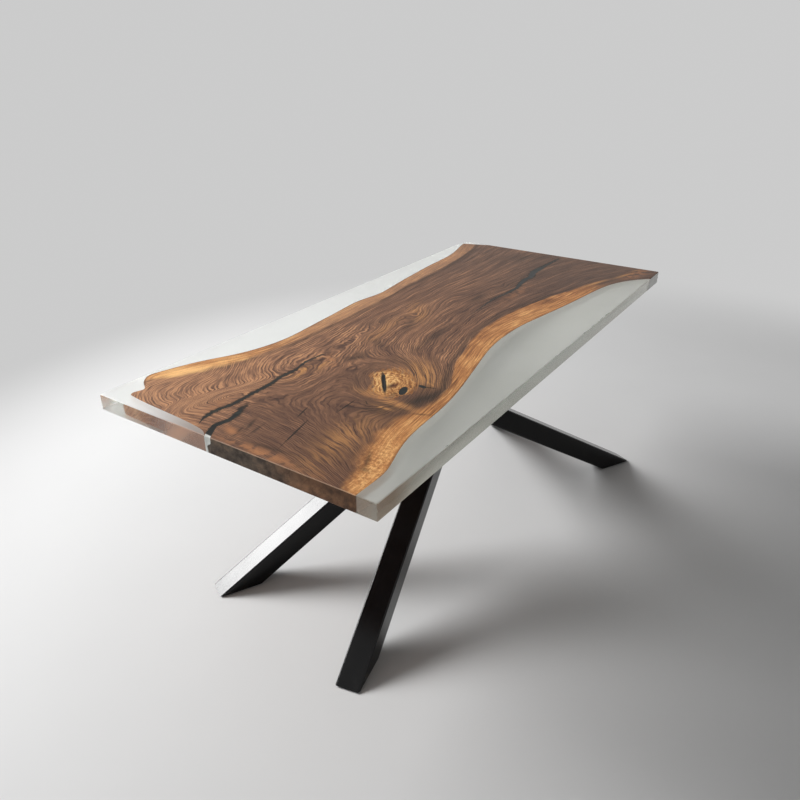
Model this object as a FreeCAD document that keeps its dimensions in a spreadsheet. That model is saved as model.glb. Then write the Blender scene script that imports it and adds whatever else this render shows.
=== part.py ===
import FreeCAD, Part
import math
import os

import Sketcher

# Live edge dining table: a walnut slab cast between two panels of clear resin, on a crossed base of
# square steel tube. Millimetres and degrees, +Z up. X runs along the top, with the front end at -X and
# the left side at +Y. The origin is on the floor, midway across the whole footprint.

SIZES = {
    # Top
    "top_length": "1800",
    "top_width": "824",
    "top_thickness": "42",
    "table_height": "740",
    "top_offset": "17",
    "edge_break": "1.5",
    "flank_lean": "16",
    "cut_overrun": "30",
    # Cracks and knot
    "long_crack_width": "13",
    "short_crack_width": "22",
    "far_crack_width": "34",
    "knot_crack_width": "8",
    "hairline_width": "2.4",
    "crack_depth": "26",
    "hairline_depth": "5",
    "knot_depth": "16",
    "knot_hole_length": "48",
    "knot_hole_width": "20",
    "knot_spot_length": "24",
    "knot_spot_width": "13",
    "knot_hole_turn": "20",
    "knot_spot_turn": "80",
    # Crossed base
    "base_offset_along": "43",
    "base_offset_across": "-16",
    "base_turn": "-7.8",
    "foot_along": "714",
    "plate_edge_room": "154.8",
    "crossing_share": "0.6773",
    "tube_size": "70",
    "tube_wall": "3",
    "tube_corner": "5",
    "foot_cap_thickness": "4",
    "pad_thickness": "4",
    "pad_inset": "8",
    "weld_margin": "8",
    "tool_room": "8",
    # Bolted joint between the two halves of the base
    "joint_plate_thickness": "8",
    "joint_plate_corner": "12",
    "bolt_radius": "5",
    "bolt_head_flats": "17",
    "bolt_head_height": "6.4",
    "bolt_edge": "18",
    "bolt_end": "3",
    "nut_height": "8",
    "bolt_washer_radius": "10",
    "bolt_washer_thickness": "2",
    "hole_clearance": "0.5",
    # Plates, screws and inserts under the top
    "top_plate_thickness": "6",
    "top_plate_corner": "8",
    "screw_radius": "4",
    "screw_head_radius": "7",
    "screw_head_height": "4.4",
    "screw_socket_flats": "5",
    "screw_socket_depth": "2.5",
    "screw_edge": "15",
    "screw_end": "30",
    "screw_reach": "12",
    "screw_washer_radius": "8",
    "screw_washer_thickness": "1.6",
    "insert_radius": "6",
    "insert_length": "16",
    "insert_end_room": "4",
    "thread_clearance": "0.1",
}

# Outlines of the wood, each point as (along, across, lean): shares of the top's length and width from
# the middle of the top, and how much of the flank's lean it takes. The flank runs out under the resin.
RIGHT_EDGE_SHARES = [
    (-0.510, -0.441, 0.0), (-0.476, -0.441, 0.0), (-0.448, -0.440, -0.1), (-0.408, -0.416, -0.2),
    (-0.363, -0.393, -0.3), (-0.297, -0.383, -0.3), (-0.230, -0.366, -0.4), (-0.171, -0.339, -0.5),
    (-0.123, -0.315, -0.6), (-0.052, -0.285, -0.6), (-0.003, -0.278, -0.6), (0.044, -0.281, -0.6),
    (0.116, -0.303, -0.7), (0.201, -0.332, -0.8), (0.283, -0.355, -0.9), (0.353, -0.382, -1.0),
    (0.400, -0.427, -1.0), (0.432, -0.482, -1.0), (0.452, -0.530, -1.0),
]
FAR_END_SHARES = [(0.506, 0.317, 0.0), (0.499, 0.358, 0.0), (0.490, 0.409, 0.1), (0.479, 0.480, 0.2)]
LEFT_EDGE_SHARES = [
    (0.446, 0.464, 0.4), (0.422, 0.449, 0.5), (0.376, 0.427, 0.6), (0.295, 0.415, 0.7), (0.201, 0.398, 0.7),
    (0.116, 0.377, 0.7), (0.056, 0.365, 0.7), (0.008, 0.378, 0.7), (-0.052, 0.371, 0.7), (-0.147, 0.353, 0.7),
    (-0.207, 0.345, 0.6), (-0.252, 0.356, 0.5), (-0.297, 0.385, 0.4), (-0.341, 0.432, 0.3),
    (-0.386, 0.469, 0.2), (-0.408, 0.483, 0.2), (-0.424, 0.488, 0.1), (-0.434, 0.477, 0.1),
    (-0.443, 0.459, 0.1), (-0.451, 0.432, 0.1), (-0.457, 0.419, 0.0), (-0.468, 0.425, 0.0),
    (-0.4785, 0.418, 0.0),
]
FRONT_END_SHARES = [
    (-0.483, 0.327, 0.0), (-0.4865, 0.180, 0.0), (-0.490, 0.107, 0.0), (-0.4945, 0.073, 0.0),
    (-0.500, 0.058, 0.0), (-0.507, 0.046, 0.0),
]

# Cracks, each point as (along, across, width): shares of the top's length and width, and of the width
# that the crack has in the sheet. The short crack runs out of the front end.
LONG_CRACK_SHARES = [
    (-0.486, 0.115, 0.0), (-0.470, 0.133, 0.7), (-0.453, 0.139, 0.9), (-0.419, 0.128, 0.7),
    (-0.386, 0.131, 1.0), (-0.352, 0.132, 0.9), (-0.319, 0.142, 0.6), (-0.296, 0.138, 0.5),
    (-0.282, 0.145, 0.6), (-0.262, 0.154, 0.8), (-0.247, 0.151, 0.5), (-0.207, 0.142, 0.0),
]
SHORT_CRACK_SHARES = [
    (-0.520, 0.036, 0.0), (-0.500, 0.046, 1.0), (-0.476, 0.075, 0.8), (-0.453, 0.066, 0.7),
    (-0.435, 0.076, 0.7), (-0.421, 0.088, 0.0),
]
FAR_CRACK_SHARES = [
    (0.013, -0.077, 0.0), (0.111, -0.064, 0.10), (0.155, -0.057, 0.14), (0.197, -0.070, 0.30),
    (0.236, -0.072, 0.45), (0.260, -0.062, 0.55), (0.295, -0.051, 0.70), (0.318, -0.055, 0.80),
    (0.353, -0.034, 1.0), (0.376, -0.034, 1.0), (0.400, -0.036, 0.50), (0.423, -0.036, 0.15),
    (0.486, -0.040, 0.0),
]
KNOT_CRACK_SHARES = [
    (-0.287, -0.196, 0.0), (-0.261, -0.154, 1.0), (-0.238, -0.120, 0.9), (-0.223, -0.077, 0.0),
]
HAIRLINE_SHARES = [
    [(-0.473, -0.151, 0.0), (-0.434, -0.129, 1.0), (-0.395, -0.110, 0.0)],
    [(-0.403, -0.078, 0.0), (-0.389, -0.071, 1.0), (-0.375, -0.062, 0.0)],
    [(-0.363, -0.150, 0.0), (-0.345, -0.149, 1.0), (-0.326, -0.146, 0.0)],
    [(-0.328, -0.192, 0.0), (-0.322, -0.185, 1.0), (-0.315, -0.174, 0.0)],
]
KNOT_HOLE_SHARES = (-0.2645, -0.227)
KNOT_SPOT_SHARES = (-0.239, -0.259)

# How wide each crack still is at its floor, as a share of its width at the top.
CRACK_FLOOR_SHARE = 0.4

# How far the wood reaches to the right, beside the top plate that comes nearest to its edge, as a share
# of the top's width. The base is as wide as keeps that plate its room from the edge.
WOOD_EDGE_SHARE = 0.337

# Expressions that several pieces take their place from. The legs cross at their share of the height
# between the pads and the top plates, and each arm carries on along the line of the leg across from it.
UNDERSIDE = "(sizes.table_height - sizes.top_thickness)"
BASE_HEIGHT = f"({UNDERSIDE} - sizes.top_plate_thickness - sizes.pad_thickness)"
LEG_DROP = f"({BASE_HEIGHT} * sizes.crossing_share)"
CROSSING_HEIGHT = f"(sizes.pad_thickness + {LEG_DROP})"
ARM_SHARE = "((1 - sizes.crossing_share) / sizes.crossing_share)"
FOOT_ACROSS = f"(({WOOD_EDGE_SHARE} * sizes.top_width - sizes.plate_edge_room) / {ARM_SHARE})"
LEG_YAW = f"atan2({FOOT_ACROSS}; sizes.foot_along)"
LEG_RUN = f"hypot(sizes.foot_along; {FOOT_ACROSS})"
LEG_FALL = f"atan2({LEG_DROP}; {LEG_RUN})"
LEG_REACH = f"(hypot({LEG_RUN}; {LEG_DROP}) + 2 * sizes.tube_size)"
CUT_FOOTPRINT = f"(sizes.tube_size / sin({LEG_FALL}))"
BASE_ROOM = f"({LEG_RUN} + {CUT_FOOTPRINT})"

TOP_PLATE_LENGTH = f"({CUT_FOOTPRINT} + 2 * sizes.weld_margin)"
SCREW_SPACING_LONG = f"({TOP_PLATE_LENGTH} - 2 * sizes.screw_end)"
SCREW_SPACING_WIDE = "(sizes.tube_size + 2 * (sizes.screw_washer_radius + sizes.tool_room))"
TOP_PLATE_WIDTH = f"({SCREW_SPACING_WIDE} + 2 * sizes.screw_edge)"

BOLT_STACK = "(sizes.joint_plate_thickness + sizes.bolt_washer_thickness)"
BOLT_TAIL = f"({BOLT_STACK} + sizes.nut_height + sizes.bolt_end)"
BOLT_SPACING_WIDE = (
    f"(sizes.tube_size / cos({LEG_YAW}) + 2 * {BOLT_TAIL} * tan({LEG_YAW})"
    " + 2 * (sizes.bolt_washer_radius + sizes.tool_room))"
)
JOINT_PLATE_WIDE = f"({BOLT_SPACING_WIDE} + 2 * sizes.bolt_edge)"
JOINT_PLATE_UP = (
    f"(sizes.tube_size / cos({LEG_FALL}) + 2 * sizes.joint_plate_thickness * {LEG_DROP} / sizes.foot_along"
    " + 2 * sizes.weld_margin)"
)
BOLT_SPACING_UP = f"({JOINT_PLATE_UP} - 2 * sizes.bolt_edge)"
HALF_TURNS = {"front": 180, "back": 0}
SIDES = {("front", "left"): -1, ("front", "right"): 1, ("back", "left"): 1, ("back", "right"): -1}

doc = FreeCAD.newDocument("live_edge_dining_table")
sheet = doc.addObject("Spreadsheet::Sheet", "sizes")
nodes = []


def fill_sheet():
    """Puts each driving size in its own named cell."""
    for row, (alias, number) in enumerate(SIZES.items(), start=1):
        sheet.set(f"A{row}", alias)
        sheet.set(f"B{row}", number)
        sheet.setAlias(f"B{row}", alias)
    doc.recompute()


def number_of(expression):
    """Works out an expression on the sheet as a plain number."""
    result = sheet.evalExpression(expression.replace("sizes.", ""))
    return float(getattr(result, "Value", result))


def keep(piece, label):
    """Names a finished sub-part."""
    piece.Label = label
    nodes.append(piece)
    return piece


def shift(x="0", y="0", z="0"):
    return f"placement(vector({x}; {y}; {z}); rotation(0; 0; 0))"


def turn(yaw="0", pitch="0", roll="0"):
    return f"placement(vector(0; 0; 0); rotation({yaw}; {pitch}; {roll}))"


def place(piece, *steps):
    """Binds a piece's place to a chain of shifts and turns, the outermost first."""
    piece.setExpression("Placement", " * ".join(steps))
    return piece


def half_frame(end):
    """Frame of one half of the base, with X running out to that half's feet."""
    offset = shift("sizes.base_offset_along", "sizes.base_offset_across")
    return f"{offset} * {turn('sizes.base_turn')} * {turn(HALF_TURNS[end])}"


def primitive(kind, name, **sizes):
    piece = doc.addObject(f"Part::{kind}", name)
    for size_name, expression in sizes.items():
        piece.setExpression(size_name, expression)
    return piece


def boolean(kind, name, base, tool):
    piece = doc.addObject(f"Part::{kind}", name)
    piece.Base = base
    piece.Tool = tool
    return piece


def compound(name, pieces):
    group = doc.addObject("Part::Compound", name)
    group.Links = pieces
    return group


def copies(name, master, frames):
    """A group of separate copies of one master, one at each frame."""
    links = []
    for index, frame in enumerate(frames, start=1):
        link = doc.addObject("App::Link", f"{name}_{index}")
        link.LinkedObject = master
        links.append(place(link, frame))
    return compound(name, links)


def new_sketch(body, name, role):
    sketch = body.newObject("Sketcher::SketchObject", name)
    plane = next(part for part in body.Origin.OriginFeatures if part.Role == role)
    sketch.AttachmentSupport = [(plane, "")]
    sketch.MapMode = "FlatFace"
    return sketch


def bind(sketch, index, name, expression):
    sketch.renameConstraint(index, name)
    sketch.setExpression(f"Constraints.{name}", expression)


def rounded_rectangle(sketch, width, height, radius):
    """Draws a rectangle with round corners about the sketch's origin, bound to three expressions."""
    right = number_of(width) / 2
    top = number_of(height) / 2
    corner = number_of(radius)
    inner_x = right - corner
    inner_y = top - corner
    vector = FreeCAD.Vector
    ends = [
        ((-inner_x, -top), (inner_x, -top)), ((right, -inner_y), (right, inner_y)),
        ((inner_x, top), (-inner_x, top)), ((-right, inner_y), (-right, -inner_y)),
    ]
    centres = [(inner_x, -inner_y), (inner_x, inner_y), (-inner_x, inner_y), (-inner_x, -inner_y)]
    quarter = math.pi / 2
    lines = [sketch.addGeometry(Part.LineSegment(vector(*a, 0), vector(*b, 0))) for a, b in ends]
    arcs = []
    for index, centre in enumerate(centres):
        circle = Part.Circle(vector(*centre, 0), vector(0, 0, 1), corner)
        start = (index - 1) * quarter
        arcs.append(sketch.addGeometry(Part.ArcOfCircle(circle, start, start + quarter)))
    for index in range(4):
        sketch.addConstraint(Sketcher.Constraint("Tangent", lines[index], 2, arcs[index], 1))
        sketch.addConstraint(Sketcher.Constraint("Tangent", arcs[index], 2, lines[(index + 1) % 4], 1))
        level = "Vertical" if index % 2 else "Horizontal"
        sketch.addConstraint(Sketcher.Constraint(level, lines[index]))
    for arc in arcs[1:]:
        sketch.addConstraint(Sketcher.Constraint("Equal", arcs[0], arc))
    sketch.addConstraint(Sketcher.Constraint("Symmetric", arcs[0], 3, arcs[2], 3, -1, 1))
    across = sketch.addConstraint(Sketcher.Constraint("DistanceX", lines[3], 1, lines[1], 1, 2 * right))
    bind(sketch, across, "width", width)
    up = sketch.addConstraint(Sketcher.Constraint("DistanceY", lines[0], 1, lines[2], 1, 2 * top))
    bind(sketch, up, "height", height)
    round_corner = sketch.addConstraint(Sketcher.Constraint("Radius", arcs[0], corner))
    bind(sketch, round_corner, "corner", radius)


def corner_holes(sketch, spacing_x, spacing_y, radius):
    """Draws four holes on the corners of a rectangle about the sketch's origin."""
    away_x = number_of(spacing_x) / 2
    away_y = number_of(spacing_y) / 2
    size = number_of(radius)
    for index, (side_x, side_y) in enumerate([(1, 1), (-1, 1), (-1, -1), (1, -1)]):
        centre = FreeCAD.Vector(side_x * away_x, side_y * away_y, 0)
        hole = sketch.addGeometry(Part.Circle(centre, FreeCAD.Vector(0, 0, 1), size))
        ends_x = (-1, 1, hole, 3) if side_x > 0 else (hole, 3, -1, 1)
        ends_y = (-1, 1, hole, 3) if side_y > 0 else (hole, 3, -1, 1)
        bind(sketch, sketch.addConstraint(Sketcher.Constraint("Radius", hole, size)), f"hole_{index}", radius)
        reach = sketch.addConstraint(Sketcher.Constraint("DistanceX", *ends_x, away_x))
        bind(sketch, reach, f"hole_{index}_x", f"{spacing_x} / 2")
        rise = sketch.addConstraint(Sketcher.Constraint("DistanceY", *ends_y, away_y))
        bind(sketch, rise, f"hole_{index}_y", f"{spacing_y} / 2")


def padded_body(name, role, outline, length, holes=None):
    """A body that pads a rounded rectangle, with corner holes if there are any."""
    body = doc.addObject("PartDesign::Body", name)
    sketch = new_sketch(body, f"{name}_outline", role)
    rounded_rectangle(sketch, *outline)
    if holes:
        corner_holes(sketch, *holes)
    pad = body.newObject("PartDesign::Pad", f"{name}_pad")
    pad.Profile = sketch
    pad.setExpression("Length", length)
    return body


def top_blank():
    """The whole top as one board with broken edges, before it is parted into wood and resin."""
    body = doc.addObject("PartDesign::Body", "top_blank")
    board = body.newObject("PartDesign::AdditiveBox", "top_board")
    board.setExpression("Length", "sizes.top_length")
    board.setExpression("Width", "sizes.top_width")
    board.setExpression("Height", "sizes.top_thickness")
    doc.recompute()
    edges = body.newObject("PartDesign::Chamfer", "top_edges")
    edges.Base = (board, [])
    edges.UseAllEdges = True
    edges.setExpression("Size", "sizes.edge_break")
    middle = shift("-sizes.top_length / 2", "sizes.top_offset - sizes.top_width / 2", UNDERSIDE)
    return place(body, middle)


def top_half(blank, side):
    """The part of the blank on one side of its middle line."""
    room = primitive(
        "Box", f"{side}_half_room", Length="sizes.top_length + 2 * sizes.cut_overrun",
        Width="sizes.top_width / 2 + sizes.cut_overrun", Height="sizes.top_thickness + 2 * sizes.cut_overrun",
    )
    start = "sizes.top_offset"
    if side == "right":
        start = "sizes.top_offset - sizes.top_width / 2 - sizes.cut_overrun"
    place(room, shift("-sizes.top_length / 2 - sizes.cut_overrun", start, f"{UNDERSIDE} - sizes.cut_overrun"))
    return boolean("Common", f"{side}_half", blank, room)


def top_point(along, across, depth, away=0.0):
    """A point of the top from its shares, a depth below the upper face and a distance to the left."""
    x = along * sheet.top_length
    y = sheet.top_offset + across * sheet.top_width + away
    return FreeCAD.Vector(x, y, sheet.table_height - depth)


def spline(points):
    curve = Part.BSplineCurve()
    curve.interpolate(points)
    return curve.toShape()


def wood_outline(depth):
    """The wood's closed outline at one depth. It runs past the blank wherever the wood reaches its edge."""

    def run(shares):
        lean = sheet.flank_lean * depth / sheet.top_thickness
        return [top_point(along, across, depth, share * lean) for along, across, share in shares]

    right = run(RIGHT_EDGE_SHARES)
    far = run(FAR_END_SHARES)
    left = [far[-1]] + run(LEFT_EDGE_SHARES)
    front = [left[-1]] + run(FRONT_END_SHARES)
    outside = sheet.top_length / 2 + sheet.cut_overrun
    level = sheet.table_height - depth
    far_corners = [FreeCAD.Vector(outside, point.y, level) for point in (right[-1], far[0])]
    front_corners = [FreeCAD.Vector(-outside, point.y, level) for point in (front[-1], right[0])]
    far_lines = Part.makePolygon([right[-1]] + far_corners + [far[0]]).Edges
    front_lines = Part.makePolygon([front[-1]] + front_corners + [right[0]]).Edges
    edges = [spline(right)] + far_lines + [spline(far), spline(left), spline(front)] + front_lines
    return Part.Wire(edges)


def wood_body():
    """The wood with its leaning flanks, taller and longer than the blank that trims it."""
    lower = wood_outline(sheet.top_thickness + sheet.cut_overrun)
    upper = wood_outline(-sheet.cut_overrun)
    wood = doc.addObject("Part::Feature", "wood_body")
    wood.Shape = Part.makeLoft([lower, upper], True, True)
    return wood


def crack_solid(shares, width, depth):
    """A crack with angular sides that narrows towards its floor and stands proud of the top."""
    outlines = []
    for level, narrowing in ((depth, CRACK_FLOOR_SHARE), (-sheet.cut_overrun, 1.0)):
        reach = narrowing * width / 2
        left = [top_point(x, y, level, share * reach) for x, y, share in shares]
        right = [top_point(x, y, level, -share * reach) for x, y, share in shares[1:-1]]
        outlines.append(Part.makePolygon(left + right[::-1] + left[:1]))
    return Part.makeLoft(outlines, True, True)


def crack(name, tables, width, depth):
    piece = doc.addObject("Part::Feature", f"{name}_room")
    solids = [crack_solid(shares, width, depth) for shares in tables]
    piece.Shape = solids[0] if len(solids) == 1 else Part.makeCompound(solids)
    return piece


def knot_room(name, place_shares):
    """An oval pocket in the knot, from its floor up past the top."""
    along, across = place_shares
    oval = primitive("Ellipse", f"{name}_oval", MajorRadius=f"sizes.{name}_length / 2")
    oval.setExpression("MinorRadius", f"sizes.{name}_width / 2")
    middle = shift(
        f"{along} * sizes.top_length", f"sizes.top_offset + {across} * sizes.top_width",
        "sizes.table_height - sizes.knot_depth",
    )
    place(oval, middle, turn(f"sizes.{name}_turn"))
    room = doc.addObject("Part::Extrusion", f"{name}_room")
    room.Base = oval
    room.DirMode = "Normal"
    room.Solid = True
    room.setExpression("LengthFwd", "sizes.knot_depth + sizes.cut_overrun")
    return room


def build_top(insert_holes):
    """Parts the blank into the slab, its two resin panels and the fills of its cracks and knot."""
    blank = top_blank()
    wood = wood_body()
    for side in ("left", "right"):
        keep(boolean("Cut", f"resin_{side}_cut", top_half(blank, side), wood), f"resin_{side}")
    slab = boolean("Common", "slab_uncut", blank, wood)
    deep = sheet.crack_depth
    through = sheet.top_thickness + sheet.cut_overrun
    rooms = {
        "long_crack_fill": crack("long_crack", [LONG_CRACK_SHARES], sheet.long_crack_width, deep),
        "short_crack_fill": crack("short_crack", [SHORT_CRACK_SHARES], sheet.short_crack_width, through),
        "far_crack_fill": crack("far_crack", [FAR_CRACK_SHARES], sheet.far_crack_width, deep),
        "knot_crack_fill": crack("knot_crack", [KNOT_CRACK_SHARES], sheet.knot_crack_width, sheet.knot_depth),
        "hairline_fills": crack("hairline", HAIRLINE_SHARES, sheet.hairline_width, sheet.hairline_depth),
        "knot_hole_fill": knot_room("knot_hole", KNOT_HOLE_SHARES),
        "knot_spot_fill": knot_room("knot_spot", KNOT_SPOT_SHARES),
    }
    for label, room in rooms.items():
        keep(boolean("Common", f"{label}_trim", slab, room), label)
    pockets = compound("slab_pockets", list(rooms.values()) + [insert_holes])
    keep(boolean("Cut", "slab_cut", slab, pockets), "walnut_slab")


def tube_stock(name, frame, side, fall):
    """A tube's outside and its bore as two long bars that leave the crossing along one leg or arm."""
    bars = []
    for part, size, corner in (
        ("outside", "sizes.tube_size", "sizes.tube_corner"),
        ("bore", "(sizes.tube_size - 2 * sizes.tube_wall)", "(sizes.tube_corner - sizes.tube_wall)"),
    ):
        bar = padded_body(f"{name}_{part}", "YZ_Plane", (size, size, corner), LEG_REACH)
        crossing = shift(z=CROSSING_HEIGHT)
        bars.append(place(bar, frame, crossing, turn(f"{side} * {LEG_YAW}", fall)))
    return bars


def base_room(name, frame, side, floor, ceiling):
    """The room that one tube is mitred to: one quarter of its half of the base, between two heights."""
    room = primitive("Box", name, Length=BASE_ROOM, Width=BASE_ROOM, Height=f"{ceiling} - {floor}")
    start = "0" if side > 0 else f"-{BASE_ROOM}"
    return place(room, frame, shift("sizes.joint_plate_thickness", start, floor))


def build_leg(end, hand):
    """One lower leg with the cap that closes its foot and the pad under it."""
    name = f"{end}_{hand}"
    side = SIDES[end, hand]
    frame = half_frame(end)
    cap_top = "(sizes.pad_thickness + sizes.foot_cap_thickness)"
    outside, bore = tube_stock(f"leg_{name}", frame, side, LEG_FALL)
    tube = boolean("Cut", f"leg_{name}_tube", outside, bore)
    leg_room = base_room(f"leg_{name}_room", frame, side, cap_top, CROSSING_HEIGHT)
    keep(boolean("Common", f"leg_{name}_mitred", tube, leg_room), f"leg_{name}")
    cap_room = base_room(f"foot_cap_{name}_room", frame, side, "sizes.pad_thickness", cap_top)
    keep(boolean("Common", f"foot_cap_{name}_slice", outside, cap_room), f"foot_cap_{name}")
    pad_length = f"({CUT_FOOTPRINT} - 2 * sizes.pad_inset)"
    outline = (pad_length, "(sizes.tube_size - 2 * sizes.pad_inset)", "sizes.tube_corner")
    pad = padded_body(f"foot_pad_{name}_body", "XY_Plane", outline, "sizes.pad_thickness")
    foot = shift("sizes.foot_along", f"{side} * {FOOT_ACROSS}")
    keep(place(pad, frame, foot, turn(f"{side} * {LEG_YAW}")), f"foot_pad_{name}")


def arm_end(end, hand):
    """Frame on the underside of the top where one arm ends, with X along the arm."""
    side = SIDES[end, hand]
    reach = shift(f"sizes.foot_along * {ARM_SHARE}", f"{side} * {FOOT_ACROSS} * {ARM_SHARE}", UNDERSIDE)
    return f"{half_frame(end)} * {reach} * {turn(f'{side} * {LEG_YAW}')}"


def build_arm(end, hand):
    """One upper arm with the plate that it is welded to."""
    name = f"{end}_{hand}"
    side = SIDES[end, hand]
    frame = half_frame(end)
    outside, bore = tube_stock(f"arm_{name}", frame, side, f"-{LEG_FALL}")
    tube = boolean("Cut", f"arm_{name}_tube", outside, bore)
    ceiling = f"({UNDERSIDE} - sizes.top_plate_thickness)"
    room = base_room(f"arm_{name}_room", frame, side, CROSSING_HEIGHT, ceiling)
    keep(boolean("Common", f"arm_{name}_mitred", tube, room), f"arm_{name}")
    plate = padded_body(
        f"top_plate_{name}_body", "XY_Plane", (TOP_PLATE_LENGTH, TOP_PLATE_WIDTH, "sizes.top_plate_corner"),
        "sizes.top_plate_thickness",
        (SCREW_SPACING_LONG, SCREW_SPACING_WIDE, "(sizes.screw_radius + sizes.hole_clearance)"),
    )
    keep(place(plate, arm_end(end, hand), shift(z="-sizes.top_plate_thickness")), f"top_plate_{name}")


def build_joint_plate(end):
    """The plate that closes one half of the base and bolts to the other half's plate."""
    plate = padded_body(
        f"joint_plate_{end}_body", "YZ_Plane", (JOINT_PLATE_WIDE, JOINT_PLATE_UP, "sizes.joint_plate_corner"),
        "sizes.joint_plate_thickness",
        (BOLT_SPACING_WIDE, BOLT_SPACING_UP, "(sizes.bolt_radius + sizes.hole_clearance)"),
    )
    keep(place(plate, half_frame(end), shift(z=CROSSING_HEIGHT)), f"joint_plate_{end}")


def ring(name, radius, bore, height, start):
    """A ring about Z, from a starting height upwards."""
    outside = place(primitive("Cylinder", f"{name}_outside", Radius=radius, Height=height), shift(z=start))
    inside = place(primitive("Cylinder", f"{name}_inside", Radius=bore, Height=height), shift(z=start))
    return boolean("Cut", f"{name}_master", outside, inside)


def hexagon(name, flats, height, start):
    """A six-sided bar about Z, sized across its flats."""
    bar = primitive("Prism", name, Circumradius=f"{flats} / 2 / cos(30)", Height=height)
    return place(bar, shift(z=start))


def build_joint_bolts():
    """Bolts, washers and nuts of the joint. Each bolt's frame has Z along the bolt, from the seam."""
    frames = []
    crossing = f"{half_frame('back')} * {shift(z=CROSSING_HEIGHT)}"
    for side_y in (1, -1):
        for side_z in (1, -1):
            spot = shift("0", f"{side_y} * {BOLT_SPACING_WIDE} / 2", f"{side_z} * {BOLT_SPACING_UP} / 2")
            frames.append(f"{crossing} * {spot} * {turn(pitch='90')}")
    head = hexagon("bolt_head", "sizes.bolt_head_flats", "sizes.bolt_head_height", BOLT_STACK)
    shank_length = f"{BOLT_TAIL} + {BOLT_STACK}"
    shank = primitive("Cylinder", "bolt_shank", Radius="sizes.bolt_radius", Height=shank_length)
    place(shank, shift(z=f"-{BOLT_TAIL}"))
    keep(copies("joint_bolt_copies", boolean("Fuse", "bolt_master", head, shank), frames), "joint_bolts")
    bore = "sizes.bolt_radius + sizes.thread_clearance"
    height = "sizes.bolt_washer_thickness"
    front = ring("front_washer", "sizes.bolt_washer_radius", bore, height, f"-{BOLT_STACK}")
    back = ring("back_washer", "sizes.bolt_washer_radius", bore, height, "sizes.joint_plate_thickness")
    washers = [copies("front_washer_copies", front, frames), copies("back_washer_copies", back, frames)]
    keep(compound("joint_washer_copies", washers), "joint_washers")
    nut_start = f"-{BOLT_STACK} - sizes.nut_height"
    nut_block = hexagon("nut_block", "sizes.bolt_head_flats", "sizes.nut_height", nut_start)
    nut_bore = primitive("Cylinder", "nut_bore", Radius=bore, Height="sizes.nut_height")
    place(nut_bore, shift(z=nut_start))
    keep(copies("joint_nut_copies", boolean("Cut", "nut_master", nut_block, nut_bore), frames), "joint_nuts")


def build_top_fixings():
    """Screws, washers and inserts of the top, whose frames have Z up from its underside.

    Returns the holes that the inserts sit in, for the slab to be drilled with.
    """
    frames = []
    for end, hand in SIDES:
        for side_x in (1, -1):
            for side_y in (1, -1):
                spot = shift(f"{side_x} * {SCREW_SPACING_LONG} / 2", f"{side_y} * {SCREW_SPACING_WIDE} / 2")
                frames.append(f"{arm_end(end, hand)} * {spot}")
    seat = "(sizes.top_plate_thickness + sizes.screw_washer_thickness)"
    head_height = "sizes.screw_head_height"
    head = primitive("Cylinder", "screw_head", Radius="sizes.screw_head_radius", Height=head_height)
    head_start = f"-{seat} - {head_height}"
    place(head, shift(z=head_start))
    shank_length = f"{seat} + sizes.screw_reach"
    shank = primitive("Cylinder", "screw_shank", Radius="sizes.screw_radius", Height=shank_length)
    place(shank, shift(z=f"-{seat}"))
    socket = hexagon("screw_socket", "sizes.screw_socket_flats", "sizes.screw_socket_depth", head_start)
    screw = boolean("Cut", "screw_master", boolean("Fuse", "screw_blank", head, shank), socket)
    keep(copies("top_screw_copies", screw, frames), "top_screws")
    bore = "sizes.screw_radius + sizes.thread_clearance"
    thickness = "sizes.screw_washer_thickness"
    washer = ring("screw_washer", "sizes.screw_washer_radius", bore, thickness, f"-{seat}")
    keep(copies("top_washer_copies", washer, frames), "top_washers")
    insert = ring("insert", "sizes.insert_radius", bore, "sizes.insert_length", "0")
    keep(copies("threaded_insert_copies", insert, frames), "threaded_inserts")
    hole_depth = "sizes.insert_length + sizes.insert_end_room + sizes.cut_overrun"
    hole = primitive("Cylinder", "insert_hole", Radius="sizes.insert_radius", Height=hole_depth)
    hole_frames = [f"{frame} * {shift(z='-sizes.cut_overrun')}" for frame in frames]
    return copies("insert_hole_copies", hole, hole_frames)


def check_and_write():
    """Stops if any object failed or any sub-part is empty or broken, and then writes each to its file."""
    for piece in doc.Objects:
        if {"Invalid", "Error"} & set(piece.State):
            raise RuntimeError(f"{piece.Name} failed: {piece.State}")
    for piece in nodes:
        if piece.Shape.isNull() or not piece.Shape.Solids or not piece.Shape.isValid():
            raise RuntimeError(f"{piece.Label} has no valid shape")
    os.makedirs("parts", exist_ok=True)
    for piece in nodes:
        piece.Shape.exportStep(os.path.join("parts", f"{piece.Label}.step"))
        print(piece.Label, len(piece.Shape.Solids), round(piece.Shape.Volume))


fill_sheet()
build_top(build_top_fixings())
for leg_end, leg_hand in SIDES:
    build_leg(leg_end, leg_hand)
    build_arm(leg_end, leg_hand)
for half in HALF_TURNS:
    build_joint_plate(half)
build_joint_bolts()
doc.recompute()
check_and_write()
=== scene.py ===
"""Dresses the live edge dining table: walnut cast between clear resin, on a crossed base of black steel.

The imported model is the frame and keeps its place. Lengths are metres in that frame: X runs along the top
with the front end at -X, the left side is at +Y and Z is up.
"""

import logging
import math
from dataclasses import dataclass
from enum import Enum
from typing import ClassVar, Dict, List, Optional, Sequence, Tuple, Union

import bmesh
import bpy
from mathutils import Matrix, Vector, noise
from mathutils.bvhtree import BVHTree

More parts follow.
